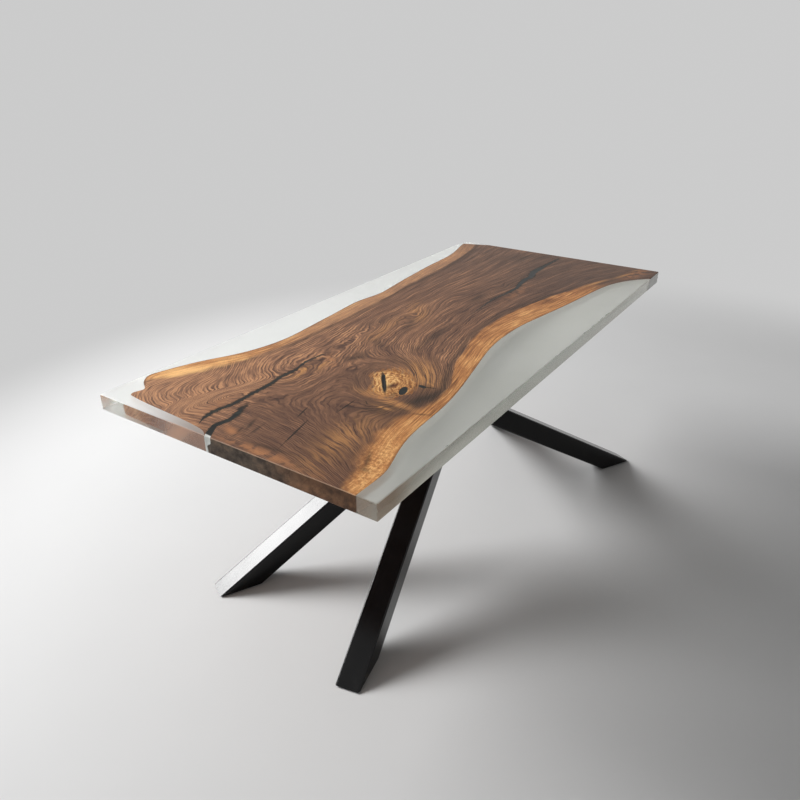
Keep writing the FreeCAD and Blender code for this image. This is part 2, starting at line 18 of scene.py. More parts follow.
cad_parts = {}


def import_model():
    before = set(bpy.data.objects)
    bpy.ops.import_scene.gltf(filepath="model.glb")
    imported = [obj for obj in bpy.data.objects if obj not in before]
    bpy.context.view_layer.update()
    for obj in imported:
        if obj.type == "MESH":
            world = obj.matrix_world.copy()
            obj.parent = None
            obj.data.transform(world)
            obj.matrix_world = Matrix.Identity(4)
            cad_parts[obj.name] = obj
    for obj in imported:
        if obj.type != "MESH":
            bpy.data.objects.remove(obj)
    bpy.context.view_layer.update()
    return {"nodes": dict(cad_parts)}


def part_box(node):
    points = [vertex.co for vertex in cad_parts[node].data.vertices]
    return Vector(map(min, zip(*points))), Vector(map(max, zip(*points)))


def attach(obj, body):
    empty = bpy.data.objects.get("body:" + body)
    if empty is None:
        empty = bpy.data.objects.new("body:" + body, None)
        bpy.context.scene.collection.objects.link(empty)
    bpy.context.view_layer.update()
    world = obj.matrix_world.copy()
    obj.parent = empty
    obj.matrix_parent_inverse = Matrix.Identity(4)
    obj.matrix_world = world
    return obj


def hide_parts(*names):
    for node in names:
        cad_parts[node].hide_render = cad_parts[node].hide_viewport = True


LOG = logging.getLogger("live_edge_table")
BODY = "root"
CORNERS = ("front_left", "front_right", "back_left", "back_right")
FULL_TURN = 2 * math.pi
DARK_LIMIT, DARK_SLOPE = 0.04045, 12.92
TONE_OFFSET, TONE_POWER = 0.055, 2.4

Colour = Tuple[float, float, float]
Pair = Tuple[float, float]
Spot = Tuple[float, float, float]
Line = Tuple[Pair, ...]
Run = Tuple[Tuple[float, Colour], ...]
Socket = bpy.types.NodeSocket
Material = bpy.types.Material
Piece = bpy.types.Object


def seen(red: int, green: int, blue: int) -> Colour:
    """Turns a colour as the eye picks it into the share of light that it reflects.

    Args:
        red: red from 0 to 255.
        green: green from 0 to 255.
        blue: blue from 0 to 255.

    Returns:
        The three shares of light, each from 0 to 1.
    """
    shares = []
    for level in (red, green, blue):
        tone = level / 255
        light = ((tone + TONE_OFFSET) / (1 + TONE_OFFSET)) ** TONE_POWER
        shares.append(tone / DARK_SLOPE if tone <= DARK_LIMIT else light)
    return shares[0], shares[1], shares[2]


class Value:
    """A number that changes over a surface: one socket, with Python's operators as Math nodes."""

    def __init__(self, tree: "FinishTree", socket: Socket) -> None:
        """Wraps one output socket of a tree."""
        self.tree = tree
        self.socket = socket

    def __add__(self, other: "Term") -> "Value":
        """This plus another."""
        return self.tree.math("ADD", self, other)

    def __radd__(self, other: "Term") -> "Value":
        """Another plus this."""
        return self.tree.math("ADD", other, self)

    def __sub__(self, other: "Term") -> "Value":
        """This less another."""
        return self.tree.math("SUBTRACT", self, other)

    def __rsub__(self, other: "Term") -> "Value":
        """Another less this."""
        return self.tree.math("SUBTRACT", other, self)

    def __mul__(self, other: "Term") -> "Value":
        """This times another."""
        return self.tree.math("MULTIPLY", self, other)

    def __rmul__(self, other: "Term") -> "Value":
        """Another times this."""
        return self.tree.math("MULTIPLY", other, self)

    def __truediv__(self, other: "Term") -> "Value":
        """This over another."""
        return self.tree.math("DIVIDE", self, other)

    def __rtruediv__(self, other: "Term") -> "Value":
        """Another over this."""
        return self.tree.math("DIVIDE", other, self)

    def at_least(self, floor: "Term") -> "Value":
        """This, or the floor where that is higher."""
        return self.tree.math("MAXIMUM", self, floor)

    def at_most(self, ceiling: "Term") -> "Value":
        """This, or the ceiling where that is lower."""
        return self.tree.math("MINIMUM", self, ceiling)

    def size(self) -> "Value":
        """This without its sign."""
        return self.tree.math("ABSOLUTE", self)

    def root(self) -> "Value":
        """The square root of this."""
        return self.tree.math("SQRT", self)

    def wave(self) -> "Value":
        """A wave from 0 to 1 that repeats each time this grows by 1."""
        return self.tree.math("SINE", self * FULL_TURN) * 0.5 + 0.5

    def part(self) -> "Value":
        """What is left of this above its whole number."""
        return self.tree.math("FRACT", self)

    def bell(self) -> "Value":
        """1 where this is 0, falling away to 0 as its square grows."""
        return self.tree.math("EXPONENT", self * self * -1.0)

    def rise(self, low: "Term", high: "Term") -> "Value":
        """0 up to the low value, 1 from the high one, and a smooth step between them.

        Args:
            low: the value at which the step starts.
            high: the value at which the step is done.

        Returns:
            The step, from 0 to 1.
        """
        node = self.tree.node(
            "ShaderNodeMapRange", {"interpolation_type": "SMOOTHSTEP"},
            {"Value": self, "From Min": low, "From Max": high},
        )
        return Value(self.tree, node.outputs[0])


Term = Union[Value, float]
Setting = Union[str, float, bool, Sequence]
Feed = Union[Value, Socket, float, Sequence[float]]
Feeds = Dict[Union[str, int], Feed]


class FinishTree:
    """A material, or the surround, and the nodes that it is made of."""

    def __init__(self, owner: Union[Material, bpy.types.World]) -> None:
        """Empties the owner's nodes.

        Args:
            owner: the material, or the world of the scene.
        """
        owner.use_nodes = True
        self.owner = owner
        self.nodes = owner.node_tree.nodes
        self.links = owner.node_tree.links
        self.nodes.clear()

    @classmethod
    def material(cls, name: str) -> "FinishTree":
        """Starts an empty material."""
        return cls(bpy.data.materials.new(name))

    def node(
        self, kind: str, settings: Optional[Dict[str, Setting]] = None, sockets: Optional[Feeds] = None,
    ) -> bpy.types.Node:
        """Makes one node.

        Args:
            kind: the node's type.
            settings: its settings, set first. "stops" are a ramp's and "points" are a curve's.
            sockets: a value or a link for each of its input sockets, by name or place.

        Returns:
            The node.
        """
        made = self.nodes.new(kind)
        for name, setting in (settings or {}).items():
            if name == "stops":
                self._set_stops(made.color_ramp, setting)
            elif name == "points":
                self._set_points(made.mapping, setting)
            else:
                setattr(made, name, setting)
        for name, feed in (sockets or {}).items():
            source = feed.socket if isinstance(feed, Value) else feed
            if isinstance(source, Socket):
                self.links.new(source, made.inputs[name])
            else:
                made.inputs[name].default_value = source
        return made

    @staticmethod
    def _set_stops(ramp: bpy.types.ColorRamp, stops: Run) -> None:
        """Puts a ramp's stops in place of the two that it starts with.

        Args:
            ramp: the ramp.
            stops: the place and the colour of each stop.
        """
        while len(ramp.elements) < len(stops):
            ramp.elements.new(1.0)
        for element, (position, colour) in zip(ramp.elements, stops):
            element.position = position
            element.color = (*colour, 1.0)

    @staticmethod
    def _set_points(mapping: bpy.types.CurveMapping, points: Sequence[Pair]) -> None:
        """Puts a curve's points in place of the two that it starts with.

        Args:
            mapping: the curve.
            points: its points, each a share along and a value.
        """
        curve = mapping.curves[0]
        for point in points[2:]:
            curve.points.new(*point)
        for made, point in zip(curve.points, points):
            made.location = point
        mapping.update()

    def math(self, operation: str, *terms: Term) -> Value:
        """One Math node on values and numbers."""
        node = self.node("ShaderNodeMath", {"operation": operation}, dict(enumerate(terms)))
        return Value(self, node.outputs[0])

    def parts(self, kind: str, output: str) -> Tuple[Value, Value, Value]:
        """Takes a vector that a node gives apart.

        Args:
            kind: the node's type.
            output: the name of the vector's socket.

        Returns:
            The vector's three parts.
        """
        source = self.node(kind)
        split = self.node("ShaderNodeSeparateXYZ", sockets={0: source.outputs[output]})
        return Value(self, split.outputs[0]), Value(self, split.outputs[1]), Value(self, split.outputs[2])

    def place(self) -> Tuple[Value, Value, Value]:
        """The three parts of a point's place in the frame."""
        return self.parts("ShaderNodeTexCoord", "Object")

    def facing(self) -> Tuple[Value, Value, Value]:
        """The three parts of the direction that a surface faces."""
        return self.parts("ShaderNodeNewGeometry", "True Normal")

    def vector(self, x: Term, y: Term, z: Term) -> Socket:
        """A vector from its three parts."""
        return self.node("ShaderNodeCombineXYZ", sockets={0: x, 1: y, 2: z}).outputs[0]

    def cloud(
        self, vector: Socket, scale: float, detail: float = 2.0, roughness: float = 0.5,
        distortion: float = 0.0,
    ) -> Value:
        """Soft random patches from about 0 to 1.

        Args:
            vector: where the patches are read.
            scale: how many patches a metre holds.
            detail: how many finer layers lie on them.
            roughness: how strong each finer layer is.
            distortion: how much the patches are stirred.

        Returns:
            The patches, mostly between 0.3 and 0.7.
        """
        node = self.node("ShaderNodeTexNoise", sockets={
            "Vector": vector, "Scale": scale, "Detail": detail, "Roughness": roughness,
            "Distortion": distortion,
        })
        return Value(self, node.outputs[0])

    def curve(self, share: Value, points: Sequence[Pair]) -> Value:
        """A curve drawn through points, read at a share from 0 to 1."""
        node = self.node("ShaderNodeFloatCurve", {"points": points}, {"Value": share})
        return Value(self, node.outputs[0])

    def ramp(self, share: Value, *stops: Tuple[float, Colour]) -> Socket:
        """A run of colours, read at a share from 0 to 1."""
        return self.node("ShaderNodeValToRGB", {"stops": stops}, {0: share}).outputs[0]

    def blend(self, share: Term, first: Feed, second: Feed) -> Socket:
        """Lays one colour over another.

        Args:
            share: how much of the second colour shows.
            first: the colour beneath.
            second: the colour on top.

        Returns:
            The mixed colour.
        """
        feeds = [(*feed, 1.0) if isinstance(feed, tuple) else feed for feed in (first, second)]
        settings = {"data_type": "RGBA", "clamp_factor": True}
        return self.node("ShaderNodeMix", settings, {0: share, 6: feeds[0], 7: feeds[1]}).outputs[2]

    def bump(self, height: Value, depth: float) -> Socket:
        """The facing of a surface with a fine relief, from 0 to 1, of a given depth."""
        return self.node("ShaderNodeBump", sockets={"Height": height, "Distance": depth}).outputs[0]

    def paint(self, sockets: Feeds) -> Socket:
        """One Principled shader with these values and links."""
        return self.node("ShaderNodeBsdfPrincipled", sockets=sockets).outputs[0]

    def both(self, share: Value, first: Socket, second: Socket) -> Socket:
        """Two shaders in one, with the second where the share is 1."""
        return self.node("ShaderNodeMixShader", sockets={0: share, 1: first, 2: second}).outputs[0]

    def end(self, surface: Socket, volume: Optional[Socket] = None) -> Material:
        """Ends the tree.

        Args:
            surface: the shader of the surface.
            volume: what fills the solid, if it is clear.

        Returns:
            The material.
        """
        ends: Feeds = {"Surface": surface}
        if volume is not None:
            ends["Volume"] = volume
        self.node("ShaderNodeOutputMaterial", sockets=ends)
        return self.owner

    def finish(self, sockets: Feeds) -> Material:
        """Ends the tree in one Principled shader."""
        return self.end(self.paint(sockets))


@dataclass(frozen=True)
class TopSpan:
    """Where the whole top lies in the frame."""

    length: float
    width: float
    thickness: float
    middle: float
    level: float

    @classmethod
    def of(cls, nodes: Sequence[str]) -> "TopSpan":
        """Measures the top over the pieces that it is made of.

        Args:
            nodes: the names of those pieces.

        Returns:
            The span of them all.
        """
        boxes = [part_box(node) for node in nodes]
        low = [min(box[0][axis] for box in boxes) for axis in range(3)]
        high = [max(box[1][axis] for box in boxes) for axis in range(3)]
        length, width, thickness = (high[axis] - low[axis] for axis in range(3))
        return cls(length, width, thickness, (low[1] + high[1]) / 2, high[2])


class Hue(Enum):
    """What a patch does to the wood under it."""

    DARK = "dark"
    GOLD = "gold"
    ROUGE = "rouge"
    STAIN = "stain"


@dataclass(frozen=True)
class Patch:
    """A soft oval patch of another tone, placed from the top's middle."""

    x: float
    y: float
    length: float
    width: float
    turn: float
    strength: float
    hue: Hue = Hue.DARK


@dataclass
class Grain:
    """What the layers of the walnut are drawn with: places on the slab, and patches along the grain."""

    tree: FinishTree
    x: Value
    y: Value
    z: Value
    point: Socket
    along: Value
    left: Value
    right: Value
    ripple: Value
    flow: Value
    streaks: Value
    fibres: Value


@dataclass(frozen=True)
class Walnut:
    """Oiled walnut with sapwood along both live edges, figured round a knot."""

    span: TopSpan
    heart_width: float = 0.5
    knot: Pair = (-0.452, -0.140)
    knot_reach: Pair = (0.150, 0.085)
    knot_core: Pair = (0.092, 0.056)
    knot_turn: float = math.radians(34)
    knot_lift: float = 0.26
    knot_blush: Patch = Patch(-0.455, -0.120, 0.060, 0.030, 0.65, 1.0)
    knot_eye: Patch = Patch(-0.467, -0.149, 0.017, 0.010, -0.2, 1.0)
    corner_burl: Patch = Patch(-0.80, -0.325, 0.13, 0.055, 0.3, 1.0)
    left_ridge: Patch = Patch(-0.68, 0.325, 0.17, 0.030, -0.42, 1.0)
    arch: Pair = (-0.53, 0.36)
    arch_stretch: float = 1.3
    ring_gap: float = 0.0085
    crack_floor: Pair = (-0.036, -0.028)
    stain_floor: Pair = (-0.020, -0.012)
    spill_place: float = 0.0445
    spill_reach: float = 0.0065
    skin_length: Pair = (0.70, 0.74)
    skin_width: Pair = (-0.4115, -0.4085)
    ring_profile: Line = ((0.0, 0.0), (0.10, 0.7), (0.25, 1.0), (0.7, 0.62), (1.0, 0.0))
    hues: ClassVar[Dict[Hue, Colour]] = {
        Hue.DARK: seen(42, 34, 28), Hue.GOLD: seen(206, 148, 90), Hue.ROUGE: seen(184, 126, 84),
        Hue.STAIN: seen(12, 10, 9),
    }

    # Lines along the top, each point a share of its length and of its width from the right side.
    left_sapwood_shares: Line = (
        (0.0, 0.99), (0.045, 0.985), (0.07, 0.953), (0.096, 0.924), (0.14, 0.866), (0.192, 0.832),
        (0.27, 0.807), (0.40, 0.804), (0.544, 0.817), (0.655, 0.835), (0.818, 0.851), (0.911, 0.881),
        (0.981, 0.914), (1.0, 0.925),
    )
    right_sapwood_shares: Line = (
        (0.0, 0.088), (0.026, 0.122), (0.054, 0.144), (0.09, 0.168), (0.137, 0.186), (0.18, 0.182),
        (0.226, 0.163), (0.27, 0.168), (0.315, 0.205), (0.353, 0.242), (0.40, 0.269), (0.473, 0.310),
        (0.544, 0.319), (0.616, 0.306), (0.70, 0.273), (0.783, 0.225), (0.865, 0.181), (0.93, 0.11),
        (1.0, 0.0),
    )
    left_edge_shares: Line = (
        (0.0, 0.93), (0.05, 0.94), (0.066, 0.977), (0.076, 0.988), (0.114, 0.969), (0.159, 0.932),
        (0.203, 0.885), (0.248, 0.856), (0.293, 0.845), (0.353, 0.853), (0.448, 0.871), (0.508, 0.878),
        (0.556, 0.865), (0.616, 0.877), (0.701, 0.898), (0.795, 0.915), (0.876, 0.927), (0.946, 0.964),
        (1.0, 1.0),
    )
    right_edge_shares: Line = (
        (0.0, 0.059), (0.052, 0.06), (0.092, 0.084), (0.137, 0.107), (0.203, 0.117), (0.27, 0.134),
        (0.329, 0.161), (0.377, 0.185), (0.448, 0.215), (0.497, 0.222), (0.544, 0.219), (0.616, 0.197),
        (0.701, 0.168), (0.783, 0.145), (0.853, 0.118), (0.90, 0.073), (0.932, 0.018), (1.0, 0.0),
    )
    long_crack_shares: Line = (
        (0.014, 0.615), (0.030, 0.633), (0.047, 0.639), (0.081, 0.628), (0.114, 0.631), (0.148, 0.632),
        (0.181, 0.642), (0.204, 0.638), (0.218, 0.645), (0.238, 0.654), (0.253, 0.651), (0.293, 0.642),
    )
    far_crack_shares: Line = (
        (0.513, 0.423), (0.611, 0.436), (0.655, 0.443), (0.697, 0.430), (0.736, 0.428), (0.760, 0.438),
        (0.795, 0.449), (0.818, 0.445), (0.853, 0.466), (0.876, 0.466), (0.923, 0.464), (0.986, 0.460),
    )
    short_crack_shares: Line = (
        (0.0, 0.546), (0.024, 0.575), (0.047, 0.566), (0.065, 0.576), (0.079, 0.588), (0.10, 0.60),
    )
    swirls: Tuple[Patch, ...] = (
        Patch(-0.02, 0.060, 0.085, 0.034, 0.30, 0.050),
        Patch(0.20, 0.080, 0.090, 0.026, 0.10, -0.026),
        Patch(0.41, -0.015, 0.035, 0.022, 0.20, 0.022),
    )
    patches: Tuple[Patch, ...] = (
        # Dark smudges round the knot and along the middle.
        Patch(-0.379, 0.034, 0.036, 0.015, -0.62, 0.65),
        Patch(-0.345, 0.033, 0.018, 0.022, 0.9, 0.40),
        Patch(-0.26, 0.04, 0.040, 0.016, 0.9, 0.40),
        Patch(-0.09, 0.05, 0.045, 0.016, 0.3, 0.40),
        Patch(-0.13, 0.145, 0.090, 0.020, -0.1, 0.25),
        Patch(-0.13, -0.06, 0.120, 0.014, 0.08, 0.60),
        Patch(-0.482, -0.252, 0.072, 0.021, -0.30, 0.90),
        Patch(-0.36, -0.235, 0.060, 0.012, 0.45, 0.45),
        Patch(-0.600, -0.190, 0.016, 0.050, 0.1, 0.45),
        Patch(-0.505, -0.178, 0.012, 0.008, 0.0, 0.60),
        Patch(0.26, 0.0, 0.055, 0.018, 0.1, 0.50),
        Patch(0.50, -0.03, 0.20, 0.025, 0.02, 0.30),
        Patch(0.80, 0.09, 0.09, 0.045, -0.6, 0.40),
        # Dark lines: beside the front end, in the right corner and in the sapwood.
        Patch(-0.862, -0.10, 0.007, 0.065, 0.12, 0.60),
        Patch(-0.806, 0.0, 0.029, 0.005, 0.34, 0.75),
        Patch(-0.815, -0.027, 0.027, 0.004, 0.15, 0.65),
        Patch(-0.846, -0.001, 0.023, 0.004, 0.29, 0.75),
        Patch(-0.787, -0.307, 0.036, 0.005, 0.42, 0.65),
        Patch(-0.818, -0.322, 0.007, 0.013, 0.0, 0.55),
        Patch(-0.557, -0.288, 0.024, 0.004, -1.15, 0.60),
        # The stain that the knot's crack, its spot and the hairlines leave in the wood beside them.
        Patch(-0.462, -0.119, 0.064, 0.0066, 0.66, 1.00, Hue.STAIN),
        Patch(-0.427, -0.225, 0.025, 0.0040, -1.30, 0.95, Hue.STAIN),
        Patch(-0.776, -0.106, 0.074, 0.0024, 0.235, 0.90, Hue.STAIN),
        Patch(-0.700, -0.0577, 0.030, 0.0022, 0.25, 0.85, Hue.STAIN),
        Patch(-0.618, -0.1217, 0.039, 0.0022, 0.05, 0.85, Hue.STAIN),
        Patch(-0.578, -0.151, 0.012, 0.0018, 0.90, 0.60, Hue.STAIN),
        Patch(-0.560, -0.210, 0.047, 0.0040, -1.56, 0.60),
        # Golden figure beside the long crack and the knot, and in both right corners.
        Patch(-0.52, 0.10, 0.050, 0.014, 0.2, 1.00, Hue.GOLD),
        Patch(-0.45, 0.085, 0.060, 0.014, 0.35, 0.60, Hue.GOLD),
        Patch(0.02, 0.085, 0.080, 0.028, 0.6, 0.60, Hue.GOLD),
        Patch(-0.16, 0.09, 0.10, 0.020, 0.1, 0.45, Hue.GOLD),
        Patch(-0.362, -0.172, 0.072, 0.036, 0.70, 1.00, Hue.GOLD),
        Patch(-0.406, -0.221, 0.016, 0.0040, -1.96, 1.00, Hue.GOLD),
        Patch(-0.577, -0.195, 0.027, 0.0050, -1.54, 0.90, Hue.GOLD),
        Patch(-0.76, -0.215, 0.12, 0.045, 0.1, 0.55, Hue.GOLD),
        Patch(0.63, -0.268, 0.055, 0.009, -0.30, 0.80, Hue.GOLD),
        Patch(0.77, -0.318, 0.045, 0.008, -0.30, 0.75, Hue.GOLD),
        Patch(0.84, -0.335, 0.030, 0.007, -0.20, 0.70, Hue.GOLD),
        # Red brown streaks round the knot, one of them golden, and patches at both ends.
        Patch(-0.542, -0.142, 0.045, 0.012, -1.53, 0.45, Hue.ROUGE),
        Patch(-0.543, -0.219, 0.050, 0.012, -1.81, 0.45, Hue.ROUGE),
        Patch(-0.540, -0.185, 0.075, 0.014, -1.66, 0.90, Hue.GOLD),
        Patch(-0.427, 0.074, 0.040, 0.012, 0.80, 0.60, Hue.ROUGE),
        Patch(-0.885, -0.10, 0.014, 0.100, 0.0, 0.85, Hue.ROUGE),
        Patch(-0.852, 0.014, 0.010, 0.026, -0.4, 0.80, Hue.ROUGE),
        Patch(-0.80, 0.13, 0.050, 0.018, 0.2, 0.35, Hue.ROUGE),
        Patch(0.38, -0.085, 0.10, 0.016, 0.02, 0.35, Hue.ROUGE),
        Patch(0.82, -0.352, 0.09, 0.026, -0.2, 0.55, Hue.ROUGE),
    )

    def make(self) -> Material:
        """Makes the material.

        Returns:
            The walnut of the slab, on its faces, its live edges and its ends.
        """
        tree = FinishTree.material("oiled_walnut")
        grain = self._grain(tree)
        colour = self._heartwood(grain)
        colour = self._sapwood(grain, colour)
        colour = self._knotted(grain, colour)
        colour = self._patched(grain, colour)
        colour = self._cracked(grain, colour)
        colour = self._cut_faces(grain, colour)
        x, y = grain.x, grain.y
        pores = tree.cloud(tree.vector(grain.flow * 760.0, x * 55.0, y * 55.0), 1.0, 1.0).rise(0.60, 0.70)
        colour = tree.blend(pores * 0.28, colour, seen(44, 32, 24))
        relief = grain.fibres * 0.6 + grain.streaks * 0.4 - pores * 0.6
        return tree.finish({
            "Base Color": colour, "Roughness": 0.50 - grain.streaks * 0.14 + pores * 0.12, "IOR": 1.45,
            "Specular IOR Level": 0.16,
            "Normal": tree.bump(relief, 0.0002),
        })

    def _grain(self, tree: FinishTree) -> Grain:
        """Works out what every layer is drawn with.

        Args:
            tree: the material's nodes.

        Returns:
            The places and the random patches, with the field whose level lines are the lines of the grain.
        """
        x, wide, high = tree.place()
        y = wide - self.span.middle
        z = high - self.span.level
        point = tree.vector(x, y, z)
        along = x / self.span.length + 0.5
        left = self._line(tree, along, self.left_sapwood_shares)
        right = self._line(tree, along, self.right_sapwood_shares)
        ripple = tree.cloud(point, 12.0, 3.0) - 0.5
        height = (y - right) / (left - right) * self.heart_width
        calm = (1 - along.rise(0.40, 0.78) * 0.85) * (1 - height.rise(0.36, 0.46) * 0.6)
        wander = (tree.cloud(point, 2.6, 2.0) - 0.5) * 0.11
        curl = (tree.cloud(point, 42.0, 2.0) - 0.5) * 0.010
        flow = self._figure(x, y, height) + calm * (wander + ripple * 0.026 + curl) + z * 0.6
        run = x.at_most(-0.2) * 8.0 + x.at_least(-0.2) * 3.0
        streaks = tree.cloud(tree.vector(flow * 120.0, run, y * 8.0), 1.0, 4.0, 0.65)
        fibres = tree.cloud(tree.vector(flow * 300.0, run * 3.0, y * 24.0), 1.0, 2.0)
        return Grain(tree, x, y, z, point, along, left, right, ripple, flow, streaks, fibres)

    def _line(self, tree: FinishTree, along: Value, shares: Sequence[Pair]) -> Value:
        """How far a line that runs along the top lies from its middle."""
        return (tree.curve(along, shares) - 0.5) * self.span.width

    def _knot_reach(self, x: Value, y: Value, reach: Pair) -> Value:
        """How far a point is from the knot's middle, as a share of an oval's reach."""
        return oval_reach(x, y, Patch(*self.knot, *reach, self.knot_turn, 1.0))

    def _figure(self, x: Value, y: Value, height: Value) -> Value:
        """Bends the straight grain into the figure of the front half.

        Far off the lines run between the two sapwood lines. At the front end they turn across the slab, in
        arches over the long crack and in steep lines below it, and they close in loops round the knot.

        Args:
            x: place along the top.
            y: place across the top.
            height: place between the two sapwood lines.

        Returns:
            The field, in metres across the grain.
        """
        before = self.arch[0] - x
        before = (before + (before * before + 0.02).root()) * 0.5
        above = (height - self.arch[1]).at_least(0.0)
        above = above * (before.rise(0.04, 0.22) * self.arch_stretch + 1.0)
        arches = (above * above + before * before).root() + self.arch[1]
        upright = before.rise(0.06, 0.24)
        bow = (height - 0.16) * (height - 0.16) * upright * 2.6
        steep = height * (1 - upright * 0.7) + before * 1.5 - bow
        upper = height.rise(self.arch[1] - 0.03, self.arch[1] + 0.02)
        figure = steep + (arches - steep) * upper
        for swirl in self.swirls:
            figure = figure + oval_reach(x, y, swirl).bell() * swirl.strength
        return figure + self._knot_reach(x, y, self.knot_reach).bell() * self.knot_lift

    def _heartwood(self, grain: Grain) -> Socket:
        """Draws the brown of the heart, in bands and fine light lines that follow the grain.

        Args:
            grain: what the layers are drawn with.

        Returns:
            The heart's colour.
        """
        tree, along = grain.tree, grain.along
        bands = tree.cloud(tree.vector(grain.flow * 17.0, grain.x * 1.7, grain.y * 1.7), 1.0, 3.0)
        phase = grain.flow / self.ring_gap + tree.cloud(grain.point, 7.0, 2.0) * 2.0
        near = 1 - along.rise(0.30, 0.70)
        strength = tree.cloud(grain.point, 11.0, 2.0).rise(0.38, 0.62) * near * 0.85 + 0.1
        rings = (tree.curve(phase.part(), self.ring_profile) - 0.6) * strength
        corner = (1 - along.rise(0.10, 0.34)) * grain.y.rise(0.06, 0.16)
        belly = (1 - along.rise(0.20, 0.36)) * (1 - grain.y.rise(0.02, 0.12))
        strands = tree.cloud(tree.vector(grain.flow * 85.0, grain.x * 3.5, grain.y * 3.5), 1.0, 4.0, 0.65)
        lines = (grain.streaks - 0.5) * 0.9 + (grain.fibres - 0.5) * 0.9 + rings * 0.52
        tone = (bands - 0.5) * (0.40 - belly * 0.2) + lines * (1 - belly * 0.40) + 0.5
        tone = tone + (strands - 0.5) * along.rise(0.25, 0.5) * 0.5
        tone = tone + corner * 0.10 - belly * 0.07
        # Painted light: the wood is made lighter towards the left side, where the light comes from; it is
        # also darker towards the far end.
        tone = tone + grain.y.rise(-0.15, 0.15) * 0.09 - along.rise(0.30, 0.85) * 0.11
        colour = tree.ramp(
            tone, (0.12, seen(51, 34, 28)), (0.34, seen(88, 62, 50)), (0.50, seen(116, 83, 64)),
            (0.66, seen(147, 106, 80)), (0.88, seen(196, 144, 104)),
        )
        return tree.blend(along.rise(0.45, 1.0) * 0.35, colour, seen(98, 79, 66))

    def _patched(self, grain: Grain, colour: Socket) -> Socket:
        """Lays the dark smudges, the stains and the warm patches on the wood.

        Args:
            grain: what the layers are drawn with.
            colour: the wood's colour.

        Returns:
            The colour with the patches.
        """
        blots = grain.tree.cloud(grain.point, 36.0, 3.0).rise(0.40, 0.54)
        for patch in self.patches:
            reach = oval_reach(grain.x, grain.y, patch)
            share = (reach + grain.ripple * 0.9).bell()
            if patch.hue is Hue.GOLD:
                share = share * grain.streaks.rise(0.42, 0.56)
            if patch.hue is Hue.ROUGE:
                share = share * blots
            if patch.hue is Hue.STAIN:
                share = share.rise(0.2, 0.7) * grain.z.rise(*self.stain_floor)
            colour = grain.tree.blend(share * patch.strength, colour, self.hues[patch.hue])
        return colour

    def _sapwood(self, grain: Grain, colour: Socket) -> Socket:
        """Lays the golden sapwood outside its two lines, with a dark line inside them.

        Args:
            grain: what the layers are drawn with.
            colour: the heart's colour.

        Returns:
            The colour of heart and sapwood.
        """
        tree, along = grain.tree, grain.along
        front = 1 - along.rise(0.10, 0.30)
        soft = front * 0.016 + 0.004
        fray = grain.ripple * (front * 0.05 + 0.012)
        over_left = grain.y - grain.left + fray
        over_right = grain.right - grain.y + fray
        fade = 1 - (along + grain.ripple * 0.12).rise(0.77, 0.88)
        sap_left = over_left.rise(soft * -1.0, soft) * (1 - along.rise(0.84, 1.0) * 0.55)
        sap = sap_left.at_least(over_right.rise(soft * -1.0, soft) * fade)
        rim_left = self._line(tree, along, self.left_edge_shares) - grain.y
        rim_right = grain.y - self._line(tree, along, self.right_edge_shares)
        edge = rim_left.at_most(rim_right)
        rim = 1 - edge.rise(0.0005, 0.006)
        shadow = ((over_left + 0.012) / 0.010).bell().at_least(((over_right + 0.012) / 0.010).bell() * fade)
        colour = tree.blend(shadow * (0.5 - front * 0.4), colour, seen(66, 50, 38))
        burl = oval_reach(grain.x, grain.y, self.corner_burl).bell()
        ridge = oval_reach(grain.x, grain.y, self.left_ridge).bell()
        flecks = tree.cloud(grain.point, 130.0, 3.0, 0.65)
        bright = burl * ((flecks - 0.5) * 1.5 + 0.10) + ridge * 0.46
        inset = edge + grain.ripple * 0.008
        strands = tree.cloud(tree.vector(inset * 170.0, grain.x * 7.0, grain.z * 9.0), 1.0, 3.0, 0.6)
        hairs = tree.cloud(tree.vector(inset * 600.0, grain.x * 18.0, grain.z * 30.0), 1.0, 2.0)
        depth = over_left.at_least(over_right).rise(0.0, 0.05)
        glow = ((strands - 0.5) * 1.2 + (hairs - 0.5)) * (1 - burl * 0.7) + grain.ripple * 0.5 + 0.43 + bright
        glow = glow + depth * 0.12 - along.rise(0.1, 0.9) * 0.10
        gold = tree.ramp(
            glow, (0.08, seen(110, 70, 42)), (0.34, seen(166, 110, 66)), (0.55, seen(200, 138, 84)),
            (0.88, seen(252, 198, 130)),
        )
        dull = grain.y.rise(0.0, 0.1) * along.rise(0.15, 0.40)
        gold = tree.blend(dull * 0.4, gold, seen(172, 142, 118))
        colour = tree.blend(sap, colour, gold)
        return tree.blend(rim * 0.6, colour, seen(92, 60, 36))

